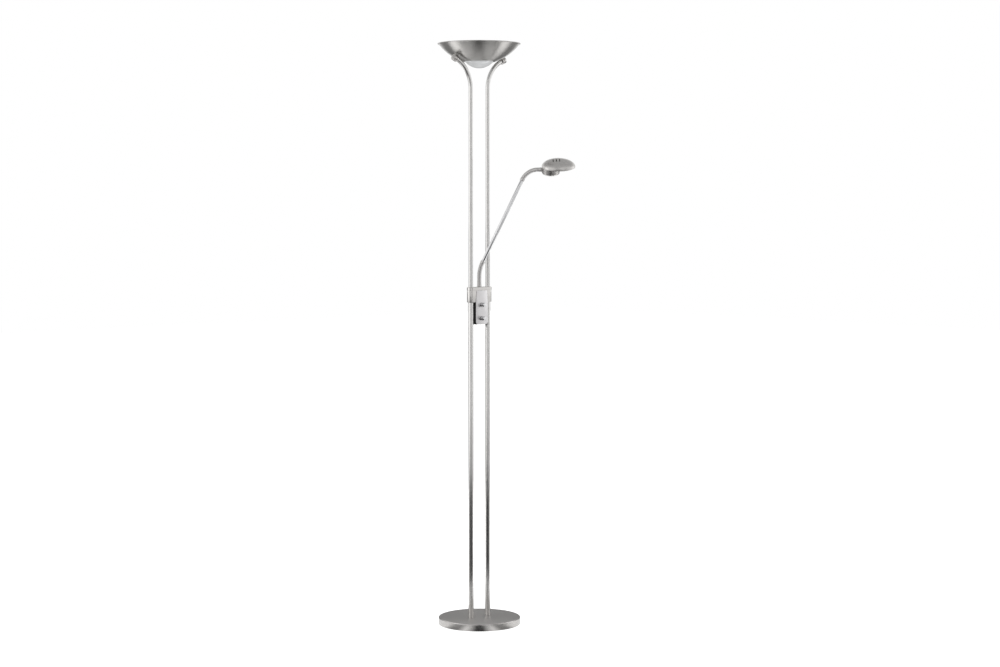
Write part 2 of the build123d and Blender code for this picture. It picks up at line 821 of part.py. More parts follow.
screw_places = [(head_screw_forward, -head_screw_side), (head_screw_forward, head_screw_side)]
dome_outside = half_ellipsoid(visor_half_length, visor_half_width, visor_rise)
dome_inside = half_ellipsoid(
    visor_half_length - visor_wall,
    visor_half_width - visor_wall,
    visor_rise - visor_wall,
)
with BuildPart() as dome_pillars:
    with BuildSketch(Plane.XY.offset(underplate_thickness + seat_gap)):
        with Locations(*screw_places):
            Circle(2 * head_screw_radius)
            Circle(head_screw_radius + thread_clearance, mode=Mode.SUBTRACT)
    extrude(amount=visor_rise)
    add(dome_inside, mode=Mode.INTERSECT)

with BuildPart() as dome_blank:
    add(dome_outside)
    add(dome_inside, mode=Mode.SUBTRACT)
    with BuildSketch(Plane.XY.offset(visor_rise)):
        with Locations((vent_middle, vent_side_shift)):
            with GridLocations(vent_pitch, 0, vent_count, 1):
                SlotOverall(vent_length, vent_width, rotation=90)
    extrude(amount=-visor_rise / 2, mode=Mode.SUBTRACT)
    add(dome_pillars.part)

with BuildPart() as head_shell:
    with Locations(visor_plane.location):
        add(dome_blank.part)
head_shell.part.label = "head_shell"
export_step(head_shell.part, "parts/head_shell.step")

plate_clearance = 2 * seat_gap
with BuildPart() as head_underplate:
    with BuildSketch(visor_plane):
        Ellipse(visor_half_length - visor_wall - plate_clearance, visor_half_width - visor_wall - plate_clearance)
        with Locations((-visor_offset, 0)):
            Circle(capsule_radius + capsule_glass_gap, mode=Mode.SUBTRACT)
        with Locations(*screw_places):
            Circle(head_screw_radius + seat_gap, mode=Mode.SUBTRACT)
    extrude(amount=underplate_thickness)
head_underplate.part.label = "head_underplate"
export_step(head_underplate.part, "parts/head_underplate.step")

head_axis = Axis(cup_centre, head_up)
cup_profile_plane = Plane(origin=cup_centre, x_dir=arm_end_direction, z_dir=arm_end_direction.cross(head_up))
glass_radius = cup_radius - cup_edge_radius
inner_edge = cup_edge_radius - cup_wall
with BuildPart() as head_cup:
    with BuildSketch(cup_profile_plane):
        with BuildLine():
            outer_start = (cup_radius, -cup_depth + cup_edge_radius)
            outer_end = (cup_radius - cup_edge_radius, -cup_depth)
            inner_start = (cup_radius - cup_edge_radius, -cup_depth + cup_wall)
            inner_end = (cup_radius - cup_wall, -cup_depth + cup_edge_radius)
            opening = glass_radius - glass_lip
            Line((cup_radius - cup_wall, 0), (cup_radius, 0))
            Line((cup_radius, 0), outer_start)
            RadiusArc(outer_start, outer_end, cup_edge_radius)
            Line(outer_end, (opening, -cup_depth))
            Line((opening, -cup_depth), (opening, -cup_depth + cup_wall))
            Line((opening, -cup_depth + cup_wall), inner_start)
            RadiusArc(inner_start, inner_end, -inner_edge)
            Line(inner_end, (cup_radius - cup_wall, 0))
        make_face()
    revolve(axis=head_axis)
    with BuildSketch(cross_plane(arm_end, arm_end_direction)):
        Circle(pin_radius + running_clearance)
    extrude(amount=cup_radius / 2, mode=Mode.SUBTRACT)
head_cup.part.label = "head_cup"
export_step(head_cup.part, "parts/head_cup.step")

with BuildPart() as head_glass:
    with BuildSketch(cup_plane.offset(-cup_depth + cup_wall)):
        Circle(glass_radius - seat_gap)
    extrude(amount=glass_thickness)
head_glass.part.label = "head_glass"
export_step(head_glass.part, "parts/head_glass.step")

reflector_bottom = -cup_depth + cup_wall + glass_thickness
with BuildPart() as head_reflector:
    with BuildSketch(cup_profile_plane):
        with BuildLine():
            wide = glass_radius - glass_lip
            Polyline(
                (wide, reflector_bottom),
                (wide + reflector_wall, reflector_bottom),
                (reflector_top_radius + reflector_wall, -reflector_top_drop),
                (reflector_top_radius + reflector_wall, 0),
                (reflector_top_radius, 0),
                (reflector_top_radius, -reflector_top_drop),
                close=True,
            )
        make_face()
    revolve(axis=head_axis)
head_reflector.part.label = "head_reflector"
export_step(head_reflector.part, "parts/head_reflector.step")

with BuildPart() as capsule_holder:
    with BuildSketch(cup_plane.offset(underplate_thickness)):
        Circle(capsule_holder_radius)
    extrude(amount=capsule_holder_length)
    fillet(capsule_holder.edges().group_by(Axis(cup_centre, head_up))[-1], radius=capsule_holder_edge)
capsule_holder.part.label = "capsule_holder"
export_step(capsule_holder.part, "parts/capsule_holder.step")

capsule_bottom = reflector_bottom + capsule_glass_gap
with BuildPart() as capsule_lamp:
    with BuildSketch(cup_plane.offset(capsule_bottom)):
        Circle(capsule_radius)
    extrude(amount=underplate_thickness - capsule_bottom)
    fillet(capsule_lamp.edges().group_by(Axis(cup_centre, head_up))[0], radius=capsule_tip_radius)
capsule_lamp.part.label = "capsule_lamp"
export_step(capsule_lamp.part, "parts/capsule_lamp.step")

with BuildPart() as head_screws:
    with BuildSketch(visor_plane):
        with Locations(*screw_places):
            Circle(head_screw_radius)
    extrude(amount=head_screw_length)
    with BuildSketch(visor_plane):
        with Locations(*screw_places):
            Circle(2 * head_screw_radius)
    extrude(amount=-head_screw_radius)
head_screws.part.label = "head_screws"
export_step(head_screws.part, "parts/head_screws.step")

# ---------------------------------------------------------------- bowl

with BuildPart() as bowl:
    with BuildSketch(Plane.XZ):
        with BuildLine():
            low_angle = -degrees(acos(bowl_hole_radius / bowl_radius))
            high_angle = -degrees(acos(bowl_rim_radius / bowl_radius))
            sweep_angle = high_angle - low_angle
            outer = CenterArc((0, bowl_centre_z), bowl_radius, low_angle, sweep_angle)
            inner = CenterArc((0, bowl_centre_z), bowl_inner_radius, low_angle, sweep_angle)
            Line(outer @ 0, inner @ 0)
            Line(outer @ 1, inner @ 1)
        make_face()
        with Locations((bowl_rim_radius, overall_height - rim_bead_radius)):
            Circle(rim_bead_radius)
    revolve(axis=Axis.Z)
    for side in sides.values():
        inward = (Vector(0, 0, bowl_centre_z) - Vector(side * nipple_x, 0, nipple_z)).normalized()
        with BuildSketch(Plane(origin=(side * nipple_x, 0, nipple_z), z_dir=inward)):
            Circle(bowl_nipple_radius + seat_gap)
        extrude(amount=2 * bowl_standoff, mode=Mode.SUBTRACT)
bowl.part.label = "bowl"
export_step(bowl.part, "parts/bowl.step")

# ---------------------------------------------------------------- bowl fixings


def fixing_frame(side):
    """Centre of a fixing on its end block, the way into the bowl, and the block's axis."""
    centre = Vector(side * nipple_x, 0, nipple_z)
    inward = (Vector(0, 0, bowl_centre_z) - centre).normalized()
    outward = Vector(side * sin(radians(bend_angle)), 0, cos(radians(bend_angle)))
    return centre, inward, outward


def end_block(side):
    """Short round block on the end of a pole, bored for the tube and for the bowl's nipple."""
    centre, inward, outward = fixing_frame(side)
    block_start = centre - outward * block_nipple_place
    with BuildPart() as block:
        with BuildSketch(Plane(origin=block_start, z_dir=outward)):
            Circle(block_radius)
        extrude(amount=block_length)
        fillet(block.edges().filter_by(GeomType.CIRCLE), radius=block_edge_radius)
        with BuildSketch(Plane(origin=block_start + outward * block_groove_place, z_dir=outward)):
            Circle(block_radius)
            Circle(block_radius - block_groove_depth, mode=Mode.SUBTRACT)
        extrude(amount=block_groove_width, mode=Mode.SUBTRACT)
        with BuildSketch(Plane(origin=block_start, z_dir=outward)):
            Circle(upper_tube_radius + seat_gap)
        extrude(amount=block_tube_seat, mode=Mode.SUBTRACT)
        with BuildSketch(Plane(origin=block_start, z_dir=outward)):
            Circle(bowl_nipple_radius / 2)
        extrude(amount=block_nipple_place, mode=Mode.SUBTRACT)
        with BuildSketch(Plane(origin=centre, z_dir=inward)):
            Circle(bowl_nipple_radius + thread_clearance)
        extrude(amount=2 * block_radius, mode=Mode.SUBTRACT)
    return block.part


with BuildPart() as end_blocks:
    add([end_block(side) for side in sides.values()])
end_blocks.part.label = "end_blocks"
export_step(end_blocks.part, "parts/end_blocks.step")

with BuildPart() as bowl_spacers:
    for side in sides.values():
        centre, inward, outward = fixing_frame(side)
        with BuildSketch(Plane(origin=centre + inward * block_radius / 2, z_dir=inward)):
            Circle(spacer_radius)
        extrude(amount=bowl_standoff)
        with BuildSketch(Plane(origin=centre, z_dir=inward)):
            Circle(bowl_nipple_radius + seat_gap)
        extrude(amount=2 * bowl_standoff, mode=Mode.SUBTRACT)
        with BuildSketch(Plane(origin=centre - outward * 2 * block_length, z_dir=outward)):
            Circle(block_radius + thread_clearance)
        extrude(amount=4 * block_length, mode=Mode.SUBTRACT)
    with Locations((0, 0, bowl_centre_z)):
        Sphere(bowl_radius + thread_clearance, mode=Mode.SUBTRACT)
bowl_spacers.part.label = "bowl_spacers"
export_step(bowl_spacers.part, "parts/bowl_spacers.step")

pad_reach = sqrt(bracket_pad_half**2 + (bracket_width / 2) ** 2)
pad_sag = bowl_inner_radius - sqrt(bowl_inner_radius**2 - pad_reach**2)
pad_distance = bowl_standoff + bowl_wall + pad_sag + seat_gap
nut_distance = pad_distance + bracket_thickness + seat_gap
nipple_length = nut_distance + bowl_nut_thickness + nipple_end
with BuildPart() as bowl_nipples:
    for side in sides.values():
        centre, inward, outward = fixing_frame(side)
        with BuildSketch(Plane(origin=centre, z_dir=inward)):
            Circle(bowl_nipple_radius)
            Circle(bowl_nipple_bore, mode=Mode.SUBTRACT)
        extrude(amount=nipple_length)
bowl_nipples.part.label = "bowl_nipples"
export_step(bowl_nipples.part, "parts/bowl_nipples.step")

with BuildPart() as bowl_nuts:
    for side in sides.values():
        centre, inward, outward = fixing_frame(side)
        with BuildSketch(Plane(origin=centre + inward * nut_distance, z_dir=inward)):
            RegularPolygon(hex_radius(bowl_nut_width), 6)
            Circle(bowl_nipple_radius + thread_clearance, mode=Mode.SUBTRACT)
        extrude(amount=bowl_nut_thickness)
bowl_nuts.part.label = "bowl_nuts"
export_step(bowl_nuts.part, "parts/bowl_nuts.step")

# ---------------------------------------------------------------- glass dish

flange_bottom = bowl_centre_z - sqrt(bowl_inner_radius**2 - dish_flange_radius**2) + seat_gap
bowl_hole_z = bowl_centre_z - sqrt(bowl_radius**2 - bowl_hole_radius**2)
dish_centre_z = bowl_hole_z - dish_drop + dish_radius
flange_top = flange_bottom + dish_flange_thickness
dish_outer_edge = sqrt(dish_radius**2 - (dish_centre_z - flange_bottom) ** 2)
dish_inner_edge = sqrt((dish_radius - dish_wall) ** 2 - (dish_centre_z - flange_top) ** 2)
with BuildPart() as glass_dish:
    with BuildSketch(Plane.XZ):
        with BuildLine():
            dish_bottom = dish_centre_z - dish_radius
            outer_middle = dish_radius * sin(radians(dish_arc_middle))
            outer_middle_z = dish_centre_z - dish_radius * cos(radians(dish_arc_middle))
            inner_radius = dish_radius - dish_wall
            inner_middle = inner_radius * sin(radians(dish_arc_middle))
            inner_middle_z = dish_centre_z - inner_radius * cos(radians(dish_arc_middle))
            ThreePointArc(
                (0, dish_bottom), (outer_middle, outer_middle_z), (dish_outer_edge, flange_bottom)
            )
            Line((dish_outer_edge, flange_bottom), (dish_flange_radius, flange_bottom))
            Line((dish_flange_radius, flange_bottom), (dish_flange_radius, flange_top))
            Line((dish_flange_radius, flange_top), (dish_inner_edge, flange_top))
            ThreePointArc(
                (dish_inner_edge, flange_top),
                (inner_middle, inner_middle_z),
                (0, dish_bottom + dish_wall),
            )
            Line((0, dish_bottom + dish_wall), (0, dish_bottom))
        make_face()
    revolve(axis=Axis.Z)
glass_dish.part.label = "glass_dish"
export_step(glass_dish.part, "parts/glass_dish.step")

# ---------------------------------------------------------------- lamp in the bowl

bracket_bottom = flange_top + bracket_lift


def bracket_pad_end(side, offset):
    """Point on the underside of the bracket's sloping end, offset along its slope."""
    centre, inward, _ = fixing_frame(side)
    slope = Vector(side * inward.Z, 0, abs(inward.X))
    point = centre + inward * pad_distance + slope * offset
    return (point.X, point.Z)


with BuildPart() as lamp_bracket:
    with BuildSketch(Plane.XZ.offset(-bracket_width / 2)):
        with BuildLine():
            Polyline(
                bracket_pad_end(-1, bracket_pad_half),
                bracket_pad_end(-1, -bracket_pad_half),
                (-bracket_flat_half, bracket_bottom),
                (bracket_flat_half, bracket_bottom),
                bracket_pad_end(1, -bracket_pad_half),
                bracket_pad_end(1, bracket_pad_half),
            )
            offset(amount=bracket_thickness, side=Side.LEFT, kind=Kind.INTERSECTION)
        make_face()
    extrude(amount=bracket_width)
    for side in sides.values():
        centre, inward, outward = fixing_frame(side)
        with BuildSketch(Plane(origin=centre, z_dir=inward)):
            Circle(bowl_nipple_radius + seat_gap)
        extrude(amount=2 * bowl_standoff, mode=Mode.SUBTRACT)
lamp_bracket.part.label = "lamp_bracket"
export_step(lamp_bracket.part, "parts/lamp_bracket.step")

holder_bottom = bracket_bottom + bracket_thickness
lamp_z = holder_bottom + lamp_height
holder_inner_x = lamp_length / 2 - holder_recess
with BuildPart() as lamp_holders:
    with BuildSketch(Plane.XY.offset(holder_bottom)):
        for side in sides.values():
            with Locations((side * (holder_inner_x + holder_thickness / 2), 0)):
                Rectangle(holder_thickness, holder_width)
    extrude(amount=holder_height)
    with BuildSketch(Plane.YZ.offset(-holder_inner_x - holder_recess)):
        with Locations((0, lamp_z)):
            Circle(lamp_cap_radius + seat_gap)
    extrude(amount=2 * (holder_inner_x + holder_recess), mode=Mode.SUBTRACT)
lamp_holders.part.label = "lamp_holders"
export_step(lamp_holders.part, "parts/lamp_holders.step")

with BuildPart() as tube_lamp:
    with BuildSketch(Plane.YZ.offset(-lamp_length / 2)):
        with Locations((0, lamp_z)):
            Circle(lamp_cap_radius)
    extrude(amount=lamp_length)
    with BuildSketch(Plane.YZ.offset(-lamp_length / 2 + lamp_cap_length)):
        with Locations((0, lamp_z)):
            Circle(lamp_tube_radius)
    extrude(amount=lamp_length - 2 * lamp_cap_length)
tube_lamp.part.label = "tube_lamp"
export_step(tube_lamp.part, "parts/tube_lamp.step")

# ---------------------------------------------------------------- wires

with BuildPart() as supply_wire:
    with BuildLine(Plane.YZ.offset(pole_x)) as run:
        FilletPolyline(
            (inlet_y - inlet_radius, inlet_height),
            (0, inlet_height),
            (0, clamp_bottom),
            radius=supply_wire_bend,
        )
    with BuildSketch(Plane(origin=run.line @ 0, z_dir=run.line % 0)):
        Circle(supply_wire_radius)
    sweep()

# the wires to the bowl rest against the outer side of the poles' bores
wire_shift = upper_tube_radius - upper_tube_wall - supply_wire_radius - rest_gap
wire_bottom = lower_tube_top - tube_overlap
with BuildPart() as bowl_wires:
    for side in sides.values():
        wire_x = side * (pole_x + wire_shift)
        with BuildLine(Plane.XZ) as run:
            straight = Line((wire_x, wire_bottom), (wire_x, bend_start_z))
            JernArc(straight @ 1, straight % 1, bend_radius - wire_shift, -side * bend_angle)
        with BuildSketch(Plane(origin=run.line @ 0, z_dir=run.line % 0)):
            Circle(supply_wire_radius)
        sweep()

with BuildPart() as bowl_leads:
    for side in sides.values():
        centre, inward, outward = fixing_frame(side)
        lead_start = centre + inward * (nipple_length - lead_overlap)
        lead_turn = centre + inward * (nipple_length + lead_reach)
        with BuildLine(Plane.XZ) as run:
            FilletPolyline(
                (lead_start.X, lead_start.Z),
                (lead_turn.X, lead_turn.Z),
                (side * (holder_inner_x + holder_thickness + seat_gap), lamp_z),
                radius=lead_bend,
            )
        with BuildSketch(Plane(origin=lead_start, z_dir=inward)):
            Circle(lead_radius)
        sweep()

with BuildPart() as wires:
    add([supply_wire.part, bowl_wires.part, bowl_leads.part])
wires.part.label = "wires"
export_step(wires.part, "parts/wires.step")
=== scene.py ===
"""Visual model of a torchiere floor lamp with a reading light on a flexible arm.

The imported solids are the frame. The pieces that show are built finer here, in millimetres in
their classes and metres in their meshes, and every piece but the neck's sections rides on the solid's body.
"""

import sys
import logging
from collections import defaultdict
from collections.abc import Callable, Iterable, Sequence
from dataclasses import dataclass, field
from enum import Enum
from math import acos, asin, atan2, cos, degrees, pi, radians, sin, sqrt

import bmesh
import bpy
from mathutils import Matrix, Vector


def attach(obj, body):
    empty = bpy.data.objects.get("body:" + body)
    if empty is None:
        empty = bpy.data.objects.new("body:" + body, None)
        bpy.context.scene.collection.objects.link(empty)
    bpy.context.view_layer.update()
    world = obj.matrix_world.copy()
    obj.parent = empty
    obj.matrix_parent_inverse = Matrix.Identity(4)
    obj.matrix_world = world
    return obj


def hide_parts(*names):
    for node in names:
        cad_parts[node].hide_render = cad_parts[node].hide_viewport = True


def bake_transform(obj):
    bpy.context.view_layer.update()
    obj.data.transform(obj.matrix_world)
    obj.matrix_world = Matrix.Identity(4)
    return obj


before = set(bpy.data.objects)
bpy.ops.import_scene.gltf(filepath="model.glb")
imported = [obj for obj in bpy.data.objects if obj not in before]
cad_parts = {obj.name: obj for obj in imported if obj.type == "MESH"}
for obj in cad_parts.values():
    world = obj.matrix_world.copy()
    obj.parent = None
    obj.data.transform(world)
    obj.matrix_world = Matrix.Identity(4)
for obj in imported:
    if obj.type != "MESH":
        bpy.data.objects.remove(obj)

MM = 0.001
MERGE_DISTANCE = 0.002 * MM
log = logging.getLogger("floor_lamp")

Colour = tuple[float, float, float]
Point = tuple[float, float]
Triple = tuple[float, float, float] | Vector
Mesh = bmesh.types.BMesh
Socket = bpy.types.NodeSocket
Masks = dict[str, Socket]
Elem = bmesh.types.BMVert | bmesh.types.BMEdge | bmesh.types.BMFace


# ---------------------------------------------------------------- shader node groups


class NodeSheet:
    """A node tree that is being laid out, with short ways to add and join nodes."""

    def __init__(self, tree: bpy.types.NodeTree) -> None:
        """Start on a tree.

        Args:
            tree: The node tree that the nodes go into.
        """
        self.tree = tree
        self.column = 0

    def add(self, kind: str, **settings: object) -> bpy.types.Node:
        """Add a node and set its properties.

        Args:
            kind: The node's type name.
            **settings: Properties of the node, by name.

        Returns:
            The new node.
        """
        node = self.tree.nodes.new(kind)
        node.location = (self.column * 190, 0)
        self.column += 1
        for name, value in settings.items():
            setattr(node, name, value)
        return node

    def join(self, source: Socket, target: Socket) -> None:
        """Link an output to an input."""
        self.tree.links.new(source, target)

    def maths(self, operation: str, first: object, second: object = 0.0) -> Socket:
        """Add a maths node fed by sockets or numbers.

        Args:
            operation: The node's operation, such as MULTIPLY.
            first: A socket or a number.
            second: A socket or a number.

        Returns:
            The node's output.
        """
        node = self.add("ShaderNodeMath", operation=operation)
        for place, value in enumerate((first, second)):
            if isinstance(value, Socket):
                self.join(value, node.inputs[place])
            else:
                node.inputs[place].default_value = value
        return node.outputs[0]

    def noise(self, vector: Socket, scale: float, detail: float = 3.0) -> Socket:
        """Add a noise texture on a vector.

        Args:
            vector: Where the noise is read.
            scale: Features per metre of the vector.
            detail: Octaves of finer noise.

        Returns:
            The noise value, from 0 to 1.
        """
        node = self.add("ShaderNodeTexNoise")
        node.inputs["Scale"].default_value = scale
        node.inputs["Detail"].default_value = detail
        self.join(vector, node.inputs["Vector"])
        return node.outputs[0]

    def smoothstep(self, value: Socket, low: float, high: float) -> Socket:
        """Rise smoothly from 0 to 1 while a value goes from one limit to the other.

        Args:
            value: What is eased.
            low: Where it leaves 0.
            high: Where it meets 1.

        Returns:
            The eased value.
        """
        step = self.add("ShaderNodeMapRange", interpolation_type="SMOOTHSTEP")
        step.inputs["From Min"].default_value = low
        step.inputs["From Max"].default_value = high
        self.join(value, step.inputs["Value"])
        return step.outputs[0]

    def chosen(self, mask: Socket, first: Socket, second: Socket) -> Socket:
        """Mix two colours by a mask."""
        mix = self.add("ShaderNodeMix", data_type="RGBA")
        for source, target in ((mask, "Factor"), (first, "A"), (second, "B")):
            self.join(source, mix.inputs[target])
        return mix.outputs["Result"]

    def grey(self, kind: str, level: float, strength: float = 1.0) -> Socket:
        """Add an emission or a background of one grey, and give its shader.

        Args:
            kind: The node's type name.
            level: The grey.
            strength: Its strength.

        Returns:
            The shader.
        """
        node = self.add(kind)
        node.inputs["Color"].default_value = (level, level, level, 1.0)
        node.inputs["Strength"].default_value = strength
        return node.outputs[0]

    def mixed(self, mask: Socket, first: Socket, second: Socket) -> Socket:
        """Mix two shaders by a mask."""
        mix = self.add("ShaderNodeMixShader")
        for place, source in enumerate((mask, first, second)):
            self.join(source, mix.inputs[place])
        return mix.outputs[0]

    def surface(self, shader: Socket, kind: str = "ShaderNodeOutputMaterial") -> None:
        """Join a shader to the tree's output.

        Args:
            shader: The shader.
            kind: The output node's type name.
        """
        self.join(shader, self.add(kind).inputs["Surface"])


def blank_material(name: str) -> tuple[bpy.types.Material, NodeSheet]:
    """Make a material with an empty node tree.

    Args:
        name: The material's name.

    Returns:
        The material, and the sheet of its tree.
    """
    made = bpy.data.materials.new(name)
    made.use_nodes = True
    made.node_tree.nodes.clear()
    return made, NodeSheet(made.node_tree)


# how much of the way round, and along, the brushed lines' noise is kept
ROUND_STRETCH = 0.002
LENGTH_STRETCH = 0.02


class Effect(Enum):
    """The surface effects that more than one finish uses."""

    TURNED_LINES = "turned_brush_lines"
    STRAIGHT_LINES = "straight_brush_lines"
    HANDLING_MARKS = "handling_marks"
    MOULDED_GRAIN = "moulded_grain"
    SETTLED_DUST = "settled_dust"


def turned_lines(sheet: NodeSheet, vector: Socket) -> Masks:
    """Fine lines that a brush leaves on a piece as it turns about its upright axis.

    Args:
        sheet: The node tree.
        vector: Where it is read.

    Returns:
        The masks, by name.
    """
    parts = sheet.add("ShaderNodeSeparateXYZ")
    sheet.join(vector, parts.inputs[0])
    across = sheet.maths("MULTIPLY", parts.outputs[0], parts.outputs[0])
    deep = sheet.maths("MULTIPLY", parts.outputs[1], parts.outputs[1])
    radius = sheet.maths("SQRT", sheet.maths("ADD", across, deep))
    angle = sheet.maths("ARCTAN2", parts.outputs[1], parts.outputs[0])
    place = sheet.add("ShaderNodeCombineXYZ")
    sheet.join(radius, place.inputs[0])
    sheet.join(sheet.maths("MULTIPLY", sheet.maths("ABSOLUTE", angle), ROUND_STRETCH), place.inputs[1])
    sheet.join(parts.outputs[2], place.inputs[2])
    fine = sheet.noise(place.outputs[0], scale=2200.0, detail=2.0)
    broad = sheet.noise(place.outputs[0], scale=260.0)
    return {"Lines": fine, "Streaks": broad}


def straight_lines(sheet: NodeSheet, vector: Socket) -> Masks:
    """Fine lines that a brush leaves along a piece's own Z.

    Args:
        sheet: The node tree.
        vector: Where it is read.

    Returns:
        The masks, by name.
    """
    stretch = sheet.add("ShaderNodeMapping")
    stretch.inputs["Scale"].default_value = (1.0, 1.0, LENGTH_STRETCH)
    sheet.join(vector, stretch.inputs["Vector"])
    fine = sheet.noise(stretch.outputs[0], scale=2600.0, detail=2.0)
    broad = sheet.noise(stretch.outputs[0], scale=300.0)
    return {"Lines": fine, "Streaks": broad}


def handling_marks(sheet: NodeSheet, vector: Socket) -> Masks:
    """Broad faint smudges left by hands and cloths.

    Args:
        sheet: The node tree.
        vector: Where it is read.

    Returns:
        The masks, by name.
    """
    cloudy = sheet.noise(vector, scale=14.0, detail=4.0)
    small = sheet.noise(vector, scale=95.0)
    blend = sheet.maths("ADD", sheet.maths("MULTIPLY", cloudy, 0.7), sheet.maths("MULTIPLY", small, 0.3))
    return {"Smudge": sheet.smoothstep(blend, low=0.38, high=0.66)}


def moulded_grain(sheet: NodeSheet, vector: Socket) -> Masks:
    """The fine pebbled texture of a mould, with a slower unevenness under it.

    Args:
        sheet: The node tree.
        vector: Where it is read.

    Returns:
        The masks, by name.
    """
    pebble = sheet.add("ShaderNodeTexVoronoi")
    pebble.inputs["Scale"].default_value = 1500.0
    sheet.join(vector, pebble.inputs["Vector"])
    slow = sheet.noise(vector, scale=120.0, detail=2.0)
    return {"Grain": pebble.outputs["Distance"], "Unevenness": slow}


def settled_dust(sheet: NodeSheet, vector: Socket) -> Masks:
    """A mask of thin dust on surfaces that face up.

    Args:
        sheet: The node tree.
        vector: Where it is read.

    Returns:
        The masks, by name.
    """
    geometry = sheet.add("ShaderNodeNewGeometry")
    parts = sheet.add("ShaderNodeSeparateXYZ")
    sheet.join(geometry.outputs["Normal"], parts.inputs[0])
    level = sheet.smoothstep(parts.outputs[2], low=0.6, high=1.0)
    specks = sheet.noise(vector, scale=420.0, detail=5.0)
    return {"Dust": sheet.maths("MULTIPLY", level, specks)}


EFFECT_MAKERS: dict[Effect, Callable[[NodeSheet, Socket], Masks]] = {
    Effect.TURNED_LINES: turned_lines,
    Effect.STRAIGHT_LINES: straight_lines,
    Effect.HANDLING_MARKS: handling_marks,
    Effect.MOULDED_GRAIN: moulded_grain,
    Effect.SETTLED_DUST: settled_dust,
}


def effect_group(effect: Effect) -> bpy.types.NodeTree:
    """Make an effect's node group once, with a Vector input and its masks as outputs.

    Args:
        effect: The effect.

    Returns:
        The node group.
    """
    known = bpy.data.node_groups.get(effect.value)
    if known is not None:
        return known
    group = bpy.data.node_groups.new(effect.value, "ShaderNodeTree")
    group.interface.new_socket("Vector", in_out="INPUT", socket_type="NodeSocketVector")
    sheet = NodeSheet(group)
    start = sheet.add("NodeGroupInput")
    results = EFFECT_MAKERS[effect](sheet, start.outputs["Vector"])
    for name in results:
        group.interface.new_socket(name, in_out="OUTPUT", socket_type="NodeSocketFloat")
    end = sheet.add("NodeGroupOutput")
    for name, socket in results.items():
        sheet.join(socket, end.inputs[name])
    return group


# ---------------------------------------------------------------- finishes


class Brush(Enum):
    """How a metal's surface was worked."""

    TURNED = "turned"
    LENGTHWISE = "lengthwise"
    PLAIN = "plain"


@dataclass(frozen=True)
class Setting:
    """Where a pattern is centred on a piece, and which way its Z lies.

    Attributes:
        centre: The pattern's centre, in millimetres.
        turn: The pattern's turn about X, Y and Z, in degrees.
    """

    centre: tuple[float, float, float] = (0.0, 0.0, 0.0)
    turn: tuple[float, float, float] = (0.0, 0.0, 0.0)

    def key(self) -> str:
        """Name part that tells materials with different settings apart."""
        values = [*self.centre, *self.turn]
        return "" if not any(values) else "_" + "_".join(f"{value:.0f}" for value in values)

    def vector(self, sheet: NodeSheet) -> Socket:
        """Object coordinates, centred and turned for the piece.

        Args:
            sheet: The node tree.

        Returns:
            The coordinates.
        """
        source = sheet.add("ShaderNodeTexCoord")
        place = sheet.add("ShaderNodeMapping", vector_type="TEXTURE")
        place.inputs["Location"].default_value = Vector(self.centre) * MM
        place.inputs["Rotation"].default_value = [radians(angle) for angle in self.turn]
        sheet.join(source.outputs["Object"], place.inputs["Vector"])
        return place.outputs[0]

    def ring_direction(self, sheet: NodeSheet, vector: Socket) -> Socket:
        """Direction round the pattern's Z at each point, turned into the world.

        Args:
            sheet: The material's node tree.
            vector: Pattern coordinates.

        Returns:
            The direction.
        """
        round_axis = sheet.add("ShaderNodeVectorMath", operation="CROSS_PRODUCT")
        round_axis.inputs[0].default_value = (0.0, 0.0, 1.0)
        sheet.join(vector, round_axis.inputs[1])
        turned = sheet.add("ShaderNodeMapping", vector_type="POINT")
        turned.inputs["Rotation"].default_value = [radians(angle) for angle in self.turn]
        sheet.join(round_axis.outputs[0], turned.inputs["Vector"])
        world = sheet.add(
            "ShaderNodeVectorTransform", vector_type="VECTOR", convert_from="OBJECT", convert_to="WORLD"
        )
        sheet.join(turned.outputs[0], world.inputs[0])
        return world.outputs[0]


PLAIN_SETTING = Setting()

# the darker and the lighter tone of each kind of finish, as shares of its colour
METAL_TONES = (0.94, 1.05)
MOULDED_TONES = (0.86, 1.12)
GLASS_TONES = (0.97, 1.0)
# how far smudges take the roughness down and up
MOULDED_SPREAD = (0.05, 0.07)
GLASS_SPREAD = (0.03, 0.04)
GRAIN_STRENGTH = 0.35
FROST_STRENGTH = 0.25
BRUSH_DEPTH = 0.02
DUST_ROUGHNESS = 0.12
GLASS_INDEX = 1.47


